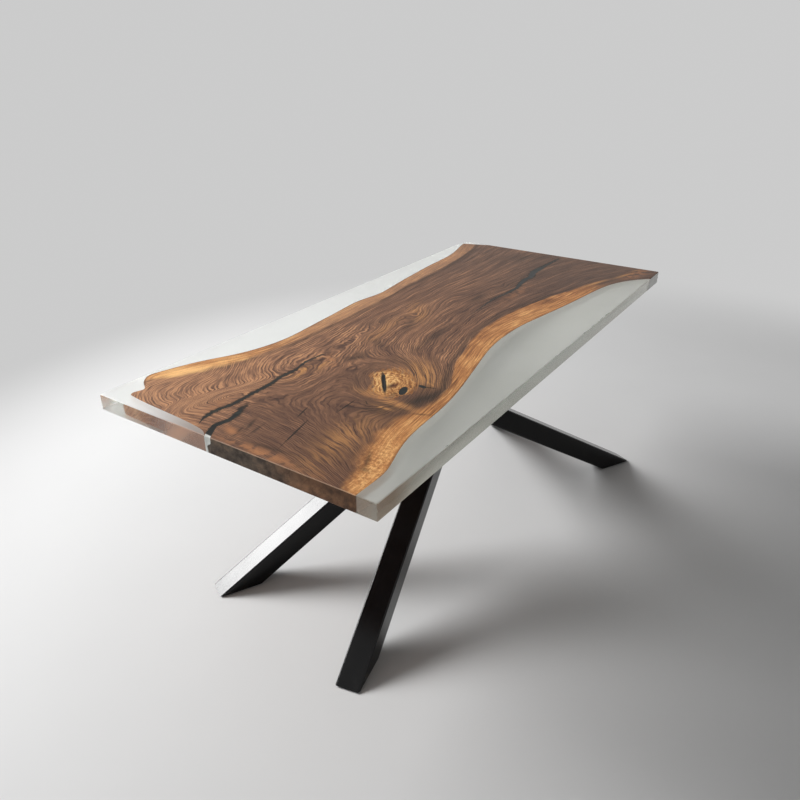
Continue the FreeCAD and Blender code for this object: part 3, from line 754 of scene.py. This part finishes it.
    def _knotted(self, grain: Grain, colour: Socket) -> Socket:
        """Lays the golden core of the knot, its red eye and its dark collar on the wood.

        Args:
            grain: what the layers are drawn with.
            colour: the wood's colour.

        Returns:
            The colour with the knot.
        """
        tree = grain.tree
        reach = self._knot_reach(grain.x, grain.y, self.knot_core)
        long, wide = turned(grain.x - self.knot[0], grain.y - self.knot[1], self.knot_turn)
        rays = tree.cloud(tree.vector(wide * 130.0 + grain.ripple * 6.0, long * 30.0, 0.0), 1.0, 3.0, 0.6)
        ragged = reach + grain.ripple * 1.0 + (rays - 0.5) * 1.2
        collar = ((ragged - 1.45) / 0.3).bell()
        colour = tree.blend(collar * 0.30, colour, seen(72, 52, 38))
        loops = (reach * 5.0 + grain.ripple * 7.0 + (rays - 0.5) * 1.2).wave()
        blush = oval_reach(grain.x, grain.y, self.knot_blush).bell()
        amber = tree.ramp(
            (rays - 0.5) * 1.4 + (loops - 0.5) * 0.17 + (grain.fibres - 0.5) * 0.6 + blush * 0.22 + 0.44,
            (0.10, seen(82, 48, 28)), (0.34, seen(152, 98, 54)), (0.54, seen(208, 148, 88)),
            (0.78, seen(252, 204, 136)),
        )
        colour = tree.blend((1 - ragged.rise(0.85, 1.15)) * 0.95, colour, amber)
        eye = oval_reach(grain.x, grain.y, self.knot_eye)
        return tree.blend((eye + grain.ripple * 0.6).bell(), colour, seen(76, 38, 22))

    def _cracked(self, grain: Grain, colour: Socket) -> Socket:
        """Darkens the wood along the long, the short and the far crack.

        Args:
            grain: what the layers are drawn with.
            colour: the wood's colour.

        Returns:
            The colour with the cracks.
        """
        tree, along = grain.tree, grain.along
        ragged = (tree.cloud(grain.point, 70.0, 4.0, 0.65) - 0.5) * 0.024
        far_breadth = ((along - 0.84) / 0.08).bell() * 0.009 + along.rise(0.62, 0.72) * 0.003 + 0.003
        long_breadth = 0.0085 - along.rise(0.195, 0.225) * 0.0045
        short_breadth = along.rise(0.0, 0.05) * 0.006 + 0.004
        cracks = (
            (self.long_crack_shares, long_breadth, 0.03, 0.04),
            (self.short_crack_shares, short_breadth, 0.001, 0.03),
            (self.far_crack_shares, far_breadth, 0.10, 0.015),
        )
        for shares, breadth, onset, fading in cracks:
            off = grain.y - self._line(tree, along, shares) + ragged
            start, end = shares[0][0], shares[-1][0]
            near = (off / breadth).bell() * along.rise(start, start + onset)
            near = near * (1 - along.rise(end - fading, end + 0.01)) * grain.z.rise(*self.crack_floor)
            colour = tree.blend(near.rise(0.15, 0.75) * 0.92, colour, seen(34, 31, 26))
        return colour

    def _cut_faces(self, grain: Grain, colour: Socket) -> Socket:
        """Colours the flanks and the end grain, paints a highlight on the chamfers at the sawn ends, and lays
        a pale skin on the side at the far right corner.

        Args:
            grain: what the layers are drawn with.
            colour: the wood's colour.

        Returns:
            The colour of the upper face, the flanks and the sawn ends.
        """
        tree = grain.tree
        facing = tree.facing()
        half = self.span.length / 2
        sawn = grain.x.size().rise(half - 0.004, half - 0.001)
        flank = (1 - facing[2].size().rise(0.3, 0.7)) * (1 - sawn)
        bark = tree.ramp(
            grain.ripple * 1.3 + (grain.fibres - 0.5) * 0.6 + 0.5, (0.25, seen(122, 66, 38)),
            (0.5, seen(194, 128, 82)), (0.75, seen(240, 186, 138)),
        )
        colour = tree.blend(flank * 0.75, colour, bark)
        # The flanks under the resin are painted nearly white: on the right, less so near the front end, and
        # on flanks facing left. This hides the wood's brown seen through the resin and is partly painted
        # light, lightening the resin's sides seen over it.
        pale_flank_right = (1 - grain.y.rise(-0.10, 0.0)) * (grain.x.rise(-0.84, -0.70) * 0.4 + 0.6)
        pale_flank = pale_flank_right.at_least(facing[1].rise(0.5, 0.8))
        colour = tree.blend(flank * pale_flank * 0.95, colour, seen(244, 243, 238))
        end = facing[0].size().rise(0.75, 0.95) * sawn
        mottle = tree.cloud(grain.point, 34.0, 4.0, 0.6)
        dark = tree.ramp(
            mottle + (grain.streaks - 0.5) * 0.14, (0.32, seen(56, 49, 44)), (0.52, seen(92, 81, 70)),
            (0.70, seen(126, 105, 87)),
        )
        right = 1 - grain.y.rise(-0.28, -0.08)
        warm = tree.ramp(mottle, (0.36, seen(78, 54, 38)), (0.64, seen(154, 106, 70)))
        dark = tree.blend(right * 0.7, dark, warm)
        dark = tree.blend(right * grain.z.rise(-0.026, -0.010) * 0.5, dark, seen(56, 38, 28))
        colour = tree.blend(end * 0.95, colour, dark)
        off = grain.y - self.spill_place + (mottle - 0.5) * 0.03
        spill = (off / self.spill_reach).bell().rise(0.35, 0.6)
        colour = tree.blend(spill * end * (1 - grain.x.rise(-0.5, 0.0)), colour, seen(232, 233, 228))
        # A painted highlight: the chamfers along the top of the sawn ends are made paler.
        painted_arris_highlight = ((facing[2] - 0.707) / 0.15).bell() * sawn
        colour = tree.blend(painted_arris_highlight * 0.45, colour, seen(206, 172, 144))
        skin = (facing[1] * -1.0).rise(0.8, 0.95) * grain.x.rise(*self.skin_length)
        skin = skin * (1 - grain.y.rise(*self.skin_width))
        return tree.blend(skin * 0.95, colour, seen(250, 250, 246))


def turned(x: Value, y: Value, turn: float) -> Tuple[Value, Value]:
    """A point's place along and across a direction that is turned from the top's length."""
    cos, sin = math.cos(turn), math.sin(turn)
    return x * cos + y * sin, y * cos - x * sin


def oval_reach(x: Value, y: Value, patch: Patch) -> Value:
    """Measures how far a point is from a patch's middle, as a share of the patch's own reach.

    Args:
        x: place along the top.
        y: place across the top.
        patch: the patch.

    Returns:
        0 in the middle and 1 on the patch's rim.
    """
    along, across = turned(x - patch.x, y - patch.y, patch.turn)
    long, wide = along / patch.length, across / patch.width
    return (long * long + wide * wide).root()


@dataclass(frozen=True)
class ClearResin:
    """Cast resin, clear inside, sanded satin on its upper and under faces and smoother on its cut sides."""

    name: str = "satin_clear_resin"
    tint: Colour = (0.895, 0.900, 0.850)
    cloud_tint: Colour = (0.825, 0.835, 0.775)
    deep_tint: Colour = (0.80, 0.87, 0.80)
    deep_tint_strength: float = 1.2
    clear: float = 0.85
    level_clear: float = 0.85
    far_painted_shade: float = 0.0

    # The wood that shows where the panel wraps round the front end.
    wash: float = 0.0
    wash_tint: Colour = seen(146, 126, 112)
    wrap_length: Pair = (-0.875, -0.82)
    wrap_width: Pair = (0.08, 0.30)
    front_width: Pair = (0.17, 0.25)
    flame_tint: Colour = seen(242, 198, 170)
    flame_place: Pair = (0.153, 0.72)
    flame_lean: float = 1.5
    flame_reach: float = 0.03

    # Tints of the cut sides, each at a share of the top's length: brown near the front end, where the wood
    # shows through, and paler towards the far end, which is painted light.
    side_tints_and_light: Run = (
        (0.0, (0.52, 0.45, 0.37)), (0.03, (0.44, 0.34, 0.24)), (0.06, (0.66, 0.60, 0.52)),
        (0.12, (0.82, 0.80, 0.76)), (0.5, (0.93, 0.93, 0.91)), (1.0, (1.0, 1.0, 0.99)),
    )
    reach: float = 0.9
    bend: float = 1.5

    def make(self) -> Material:
        """Makes the material.

        Returns:
            The resin of the two panels.
        """
        tree = FinishTree.material(self.name)
        x, y, z = tree.place()
        cloudy = tree.cloud(tree.vector(x, y, z), 5.0, 3.0)
        swirls = tree.cloud(tree.vector(x * 3.0, y * 9.0, z * 30.0), 1.0, 2.0, 0.5, 1.5)
        sanding = tree.cloud(tree.vector(x * 30.0, y * 900.0, z * 900.0), 1.0, 2.0)
        clouds_and_far_shade = cloudy.rise(0.35, 0.7) * 0.5 + swirls * 0.15
        # Painted shade: where it is set, the resin turns greyer towards the far end, and its cloudiness shows
        # less there.
        if self.far_painted_shade:
            clouds_and_far_shade = clouds_and_far_shade * 0.3 + x.rise(-0.7, 0.6) * self.far_painted_shade
        colour = tree.blend(clouds_and_far_shade, self.tint, self.cloud_tint)
        facing = tree.facing()
        level = facing[2].size().rise(0.4, 0.9)
        if self.wash:
            wrap = (1 - x.rise(*self.wrap_length)) * (1 - y.rise(*self.wrap_width))
            colour = tree.blend(wrap * self.wash, colour, self.wash_tint)
            front = (facing[0] * -1.0).rise(0.4, 0.9) * (1 - y.rise(*self.front_width))
            lean = y - self.flame_place[0] + (z - self.flame_place[1]) * self.flame_lean
            flame = ((lean + (cloudy - 0.5) * 0.06) / self.flame_reach).bell()
            colour = tree.blend(front * (flame * 0.4 + 0.6), colour, self.flame_tint)
            level = level.at_least(front * (flame * 0.3 + 0.5))
        volume = tree.node("ShaderNodeVolumeAbsorption", sockets={
            "Color": (*self.deep_tint, 1.0), "Density": self.deep_tint_strength,
        })
        sockets = {
            "Base Color": colour, "Roughness": cloudy * 0.08 + sanding * 0.05 + level * 0.12 + 0.14,
            "IOR": self.bend, "Normal": tree.bump(sanding, 0.00002),
        }
        side_colour = colour
        # The cut sides take these tints, with painted light paling them towards the far end.
        if self.side_tints_and_light:
            run = tree.ramp(x / (self.reach * 2) + 0.5, *self.side_tints_and_light)
            side_colour = tree.blend(clouds_and_far_shade * 0.4, run, colour)
        sides = tree.paint({**sockets, "Base Color": side_colour, "Transmission Weight": self.clear})
        faces = tree.paint({**sockets, "Transmission Weight": self.level_clear})
        return tree.end(tree.both(level, sides, faces), volume.outputs[0])


@dataclass(frozen=True)
class CrackFill:
    """Dark filled resin in the cracks and the knot, with a milky mouth at the front end, narrow below."""

    mouth: float
    level: float
    mouth_left: float = 0.0639
    mouth_width: float = 0.018
    narrowing: Pair = (-0.026, -0.012)
    head_share: float = 1.07
    foot_share: float = 0.32

    def make(self) -> Material:
        """Makes the material.

        Returns:
            The fill of the cracks.
        """
        tree = FinishTree.material("dark_crack_fill")
        x, y, z = tree.place()
        point = tree.vector(x, y, z)
        mottle = tree.cloud(point, 60.0, 4.0, 0.6)
        depth = tree.cloud(point, 22.0, 2.0)
        colour = tree.ramp(
            mottle * 0.6 + depth * 0.4, (0.35, seen(6, 7, 6)), (0.52, seen(20, 23, 19)),
            (0.70, seen(46, 51, 42)),
        )
        front = 1 - (x + (mottle - 0.5) * 0.006).rise(self.mouth, self.mouth + 0.004)
        across = (self.mouth_left - y) / self.mouth_width
        edge = (z - self.level).rise(*self.narrowing) * (self.head_share - self.foot_share)
        edge = edge + self.foot_share + (mottle - 0.5) * 0.5
        milky = 1 - across.rise(edge - 0.08, edge + 0.08)
        wood = tree.ramp(mottle, (0.3, seen(58, 50, 44)), (0.7, seen(112, 98, 84)))
        colour = tree.blend(front, colour, wood)
        milk = tree.ramp(depth, (0.35, seen(206, 208, 203)), (0.65, seen(242, 243, 239)))
        colour = tree.blend(front * milky, colour, milk)
        return tree.finish({
            "Base Color": colour, "Roughness": depth * 0.2 + 0.25, "IOR": 1.5, "Specular IOR Level": 0.19,
            "Normal": tree.bump(mottle, 0.0002),
        })


@dataclass(frozen=True)
class PowderCoat:
    """Black powder coat with a soft gloss and the fine orange peel that it cures with."""

    gloss: float = 0.13

    def make(self) -> Material:
        """Makes the material.

        Returns:
            The coat of the steel base.
        """
        tree = FinishTree.material("black_powder_coat")
        x, y, z = tree.place()
        point = tree.vector(x, y, z)
        peel = tree.cloud(point, 520.0, 2.0)
        rub = tree.cloud(point, 9.0, 5.0, 0.65)
        dust = tree.cloud(point, 240.0, 1.0).rise(0.68, 0.74)
        low = 1 - z.rise(0.0, 0.09)
        colour = tree.ramp(rub, (0.3, seen(6, 6, 7)), (0.7, seen(14, 14, 15)))
        colour = tree.blend(dust * 0.06 + low * rub.rise(0.5, 0.75) * 0.3, colour, seen(60, 58, 56))
        return tree.finish({
            "Base Color": colour, "Roughness": rub * 0.12 + dust * 0.05 + self.gloss, "IOR": 1.5,
            "Specular IOR Level": 0.29, "Normal": tree.bump(peel, 0.00003),
        })


@dataclass(frozen=True)
class PlatedSteel:
    """Dark zinc on turned and cold headed fasteners."""

    def make(self) -> Material:
        """Makes the material.

        Returns:
            The plating of bolts, nuts, screws and washers.
        """
        tree = FinishTree.material("dark_zinc")
        x, y, z = tree.place()
        point = tree.vector(x, y, z)
        turning = tree.cloud(tree.vector(x * 1500.0, y * 1500.0, z * 120.0), 1.0, 2.0)
        bloom = tree.cloud(point, 70.0, 4.0, 0.6)
        colour = tree.ramp(
            bloom, (0.3, seen(52, 52, 56)), (0.55, seen(84, 84, 88)), (0.75, seen(112, 108, 98)),
        )
        return tree.finish({
            "Base Color": colour, "Metallic": 1.0, "Roughness": turning * 0.2 + bloom * 0.15 + 0.22,
            "Normal": tree.bump(turning, 0.00004),
        })


@dataclass(frozen=True)
class TurnedBrass:
    """Plain brass with fine turning marks."""

    def make(self) -> Material:
        """Makes the material.

        Returns:
            The brass of the inserts.
        """
        tree = FinishTree.material("turned_brass")
        x, y, z = tree.place()
        turning = tree.cloud(tree.vector(x * 60.0, y * 60.0, z * 2400.0), 1.0, 2.0)
        tarnish = tree.cloud(tree.vector(x, y, z), 120.0, 3.0)
        colour = tree.ramp(tarnish, (0.3, seen(150, 112, 52)), (0.7, seen(208, 170, 92)))
        return tree.finish({
            "Base Color": colour, "Metallic": 1.0, "Roughness": turning * 0.25 + 0.2,
            "Normal": tree.bump(turning, 0.00005),
        })


@dataclass(frozen=True)
class PadRubber:
    """Matt black rubber, a little dusty."""

    def make(self) -> Material:
        """Makes the material.

        Returns:
            The rubber of the foot pads.
        """
        tree = FinishTree.material("matt_rubber")
        x, y, z = tree.place()
        point = tree.vector(x, y, z)
        grain = tree.cloud(point, 700.0, 2.0)
        dust = tree.cloud(point, 45.0, 4.0)
        colour = tree.ramp(dust, (0.35, seen(18, 18, 18)), (0.7, seen(44, 43, 41)))
        return tree.finish({
            "Base Color": colour, "Roughness": dust * 0.2 + 0.68, "Normal": tree.bump(grain, 0.0001),
        })


@dataclass
class CastTop:
    """The slab, its two resin panels and the fills of its cracks and knot."""

    nodes: Dict[str, Piece]
    slab: str = "walnut_slab"
    panels: Tuple[str, ...] = ("resin_left", "resin_right")
    fills: Tuple[str, ...] = (
        "long_crack_fill", "short_crack_fill", "far_crack_fill", "knot_crack_fill", "hairline_fills",
        "knot_hole_fill", "knot_spot_fill",
    )
    mouth_depth: float = 0.004
    weld: float = 1e-6
    touch: float = 0.0004
    level_tilt: float = 0.8
    flat_tilt: float = 0.999
    tall_edge: float = 0.02
    flank_cuts: int = 7
    sharp_turn: float = math.radians(35)
    proud: float = 0.0003
    relief: float = 0.0022
    run_out: float = 0.008
    ridge_grain: Spot = (14, 14, 90)
    lump_grain: Spot = (45, 45, 60)
    ridge_share: float = 0.65

    def build(self) -> List[Piece]:
        """Makes the slab with the uneven surface that lay under its bark, and dresses the whole top.

        Returns:
            The pieces of the top.
        """
        span = TopSpan.of((self.slab, *self.panels))
        slab = self._live_edge_slab(span)
        wear(slab, Walnut(span).make())
        left_resin = ClearResin(
            "bright_resin", (0.99, 1.0, 0.985), (0.86, 0.87, 0.85), clear=0.94, level_clear=0.34,
            far_painted_shade=0.7, wash=0.75, side_tints_and_light=(),
        )
        fill = CrackFill(span.length * -0.5 + self.mouth_depth, span.level)
        pieces = [slab]
        for name, resin in zip(self.panels, (left_resin, ClearResin())):
            pieces += dress(self.nodes, (name,), resin.make())
        return pieces + dress(self.nodes, self.fills, fill.make())

    def _live_edge_slab(self, span: TopSpan) -> Piece:
        """Copies the slab and works a relief into the flanks that the resin lies against.

        Args:
            span: where the top lies.

        Returns:
            The slab that stands for the plain one.
        """
        mesh = bmesh.new()
        mesh.from_mesh(self.nodes[self.slab].data)
        bmesh.ops.remove_doubles(mesh, verts=mesh.verts, dist=self.weld)
        rims = {edge for face in self._flank_faces(mesh) for edge in face.edges}
        tall = [edge for edge in mesh.edges if edge in rims and self._rise_of(edge) > self.tall_edge]
        bmesh.ops.subdivide_edges(mesh, edges=tall, cuts=self.flank_cuts, use_grid_fill=True)
        bmesh.ops.triangulate(mesh, faces=[face for face in mesh.faces if len(face.verts) > 4])
        mesh.normal_update()
        points = {point for face in self._flank_faces(mesh) for point in face.verts}
        moves = {point: self._relief_move(point, span) for point in points}
        for point, move in moves.items():
            point.co += move
        data = bpy.data.meshes.new("live_edge_slab")
        mesh.to_mesh(data)
        mesh.free()
        data.attributes.remove(data.attributes["custom_normal"])
        data.set_sharp_from_angle(angle=self.sharp_turn)
        smooth = [abs(face.normal.z) < self.flat_tilt for face in data.polygons]
        data.polygons.foreach_set("use_smooth", smooth)
        slab = bpy.data.objects.new("live_edge_slab", data)
        bpy.context.scene.collection.objects.link(slab)
        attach(slab, BODY)
        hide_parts(self.slab)
        return slab

    @staticmethod
    def _rise_of(edge: bmesh.types.BMEdge) -> float:
        """How much higher one end of an edge lies than the other."""
        return abs(edge.verts[0].co.z - edge.verts[1].co.z)

    def _flank_faces(self, mesh: bmesh.types.BMesh) -> List[bmesh.types.BMFace]:
        """Finds the faces of the slab that a resin panel lies against.

        Args:
            mesh: the slab.

        Returns:
            Those faces.
        """
        trees = [BVHTree.FromPolygons(
            [point.co for point in self.nodes[name].data.vertices],
            [tuple(face.vertices) for face in self.nodes[name].data.polygons],
        ) for name in self.panels]
        found = []
        for face in mesh.faces:
            if abs(face.normal.z) > self.level_tilt:
                continue
            middle = face.calc_center_median()
            if any(tree.find_nearest(middle, self.touch)[0] is not None for tree in trees):
                found.append(face)
        return found

    def _relief_move(self, point: bmesh.types.BMVert, span: TopSpan) -> Vector:
        """How far a point of a flank moves out: not at all on the rims, and unevenly between them.

        Args:
            point: the point.
            span: where the top lies.

        Returns:
            The move.
        """
        depth = (span.level - point.co.z) / span.thickness
        swell = max(0.0, 4 * depth * (1 - depth)) ** 0.5
        ridges, lumps = (
            noise.noise(Vector([place * scale for place, scale in zip(point.co, grain)]))
            for grain in (self.ridge_grain, self.lump_grain)
        )
        rough = 0.5 + 0.5 * (self.ridge_share * ridges + (1 - self.ridge_share) * lumps)
        out = Vector((point.normal.x, point.normal.y, 0.0)).normalized()
        room = min(1.0, max(0.0, span.length / 2 - abs(point.co.x)) / self.run_out)
        return out * swell * room * (self.proud + self.relief * max(0.0, rough))


@dataclass
class CrossedBase:
    """The welded tubes and plates of the base."""

    nodes: Dict[str, Piece]
    pieces: Tuple[str, ...] = ("leg", "arm", "top_plate", "foot_cap")
    halves: Tuple[str, ...] = ("joint_plate_front", "joint_plate_back")

    def build(self) -> List[Piece]:
        """Dresses the base and hands its pieces on."""
        names = [f"{piece}_{corner}" for piece in self.pieces for corner in CORNERS] + list(self.halves)
        return dress(self.nodes, names, PowderCoat().make())


@dataclass
class Fixings:
    """Bolts, nuts, washers, screws, inserts and foot pads."""

    nodes: Dict[str, Piece]
    plated: Tuple[str, ...] = ("joint_bolts", "joint_washers", "joint_nuts", "top_screws", "top_washers")
    inserts: str = "threaded_inserts"

    def build(self) -> List[Piece]:
        """Dresses the fixings.

        Returns:
            The fixings and the pads.
        """
        pads = [f"foot_pad_{corner}" for corner in CORNERS]
        pieces = dress(self.nodes, self.plated, PlatedSteel().make())
        pieces += dress(self.nodes, (self.inserts,), TurnedBrass().make())
        return pieces + dress(self.nodes, pads, PadRubber().make())


@dataclass
class Studio:
    """A plain pale floor, soft light from the left and the camera."""

    floor_reach: float = 12.0
    floor_tone: Colour = (0.70, 0.70, 0.70)
    floor_shade: Colour = (0.67, 0.67, 0.67)
    haze_middle: Pair = (0.4, -0.5)
    haze_start: float = 1.85
    haze_end: float = 3.1
    backdrop: float = 0.60
    bright_side: float = 0.46
    dim_side: float = 0.10
    key_place: Spot = (-1.33, 6.02, 3.79)
    key_aim: Spot = (0.0, 0.0, 0.5)
    key_size: Pair = (3.5, 2.6)
    key_power: float = 720.0
    camera_place: Spot = (-1.7747, -1.0328, 1.4939)
    camera_aim: Spot = (-0.2895, -0.0352, 0.6)
    lens: float = 31.967
    film: float = 36.0

    def build(self) -> None:
        """Makes the floor, the light and the camera."""
        self._floor()
        self._surround()
        self._key_light()
        self._camera()
        bpy.context.scene.view_settings.view_transform = "Standard"

    def _floor(self) -> None:
        """Lays a wide floor that fades into the backdrop far off and is open to a view from below."""
        mesh = bmesh.new()
        bmesh.ops.create_circle(mesh, cap_ends=True, radius=self.floor_reach, segments=96)
        data = bpy.data.meshes.new("studio_floor")
        mesh.to_mesh(data)
        mesh.free()
        floor = bpy.data.objects.new("studio_floor", data)
        bpy.context.scene.collection.objects.link(floor)
        tree = FinishTree.material("pale_floor")
        x, y, z = tree.place()
        grain = tree.cloud(tree.vector(x, y, z), 3.0, 4.0)
        paint = tree.paint({
            "Base Color": tree.blend(grain, self.floor_tone, self.floor_shade), "Roughness": 0.6,
            "Specular IOR Level": 0.1,
        })
        over_x, over_y = x - self.haze_middle[0], y - self.haze_middle[1]
        far = (over_x * over_x + over_y * over_y).root().rise(self.haze_start, self.haze_end)
        haze = tree.node("ShaderNodeEmission", sockets={"Color": (*(self.backdrop,) * 3, 1.0)})
        below = Value(tree, tree.node("ShaderNodeNewGeometry").outputs["Backfacing"])
        gap = tree.node("ShaderNodeBsdfTransparent").outputs[0]
        wear(floor, tree.end(tree.both(below, tree.both(far, paint, haze.outputs[0]), gap)))

    def _surround(self) -> None:
        """Gives the room its light: brighter to the left, dim to the right, and even where it shows."""
        world = bpy.data.worlds.new("studio_surround")
        bpy.context.scene.world = world
        tree = FinishTree(world)
        leftward = tree.parts("ShaderNodeTexCoord", "Generated")[1]
        glow = leftward.rise(-0.7, 0.9) * (self.bright_side - self.dim_side) + self.dim_side
        path = tree.node("ShaderNodeLightPath")
        shown = Value(tree, path.outputs["Is Camera Ray"])
        for ray in ("Is Glossy Ray", "Is Transmission Ray"):
            shown = shown.at_least(Value(tree, path.outputs[ray]))
        level = glow + shown * (self.backdrop - glow)
        colour = tree.vector(level, level, level)
        light = tree.node("ShaderNodeBackground", sockets={"Color": colour})
        tree.node("ShaderNodeOutputWorld", sockets={"Surface": light.outputs[0]})

    def _key_light(self) -> None:
        """Hangs one wide soft light to the left."""
        data = bpy.data.lights.new("left_window", "AREA")
        data.shape = "RECTANGLE"
        data.size, data.size_y = self.key_size
        data.energy = self.key_power
        light = self._aimed("left_window", data, self.key_place, self.key_aim)
        light.visible_camera = False

    def _camera(self) -> None:
        """Sets the camera where the photograph was taken from."""
        data = bpy.data.cameras.new("camera")
        data.lens = self.lens
        data.sensor_width = self.film
        bpy.context.scene.camera = self._aimed("camera", data, self.camera_place, self.camera_aim)

    @staticmethod
    def _aimed(name: str, data: bpy.types.ID, place: Spot, aim: Spot) -> Piece:
        """Puts a light or a camera in its place.

        Args:
            name: its name.
            data: the light or the camera.
            place: where it stands.
            aim: the point that it looks at.

        Returns:
            Its object.
        """
        made = bpy.data.objects.new(name, data)
        made.location = place
        made.rotation_mode = "QUATERNION"
        made.rotation_quaternion = (Vector(aim) - Vector(place)).to_track_quat("-Z", "Y")
        bpy.context.scene.collection.objects.link(made)
        return made


def wear(piece: Piece, finish: Material) -> None:
    """Gives a piece one finish all over."""
    piece.data.materials.clear()
    piece.data.materials.append(finish)


def dress(nodes: Dict[str, Piece], names: Sequence[str], finish: Material) -> List[Piece]:
    """Gives the named pieces one finish all over.

    Args:
        nodes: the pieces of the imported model.
        names: the names of those to dress.
        finish: what they wear.

    Returns:
        The dressed pieces.
    """
    pieces = [nodes[name] for name in names]
    for piece in pieces:
        wear(piece, finish)
    return pieces


def main() -> None:
    """Loads the frame, dresses each part of the table and sets up the studio."""
    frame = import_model()
    nodes = frame["nodes"]
    for group in (CastTop(nodes), CrossedBase(nodes), Fixings(nodes)):
        for piece in group.build():
            LOG.info("%s: %s, %d faces", type(group).__name__, piece.name, len(piece.data.polygons))
    Studio().build()


if __name__ == "__main__":
    logging.basicConfig(level=logging.INFO, format="%(message)s")
    main()
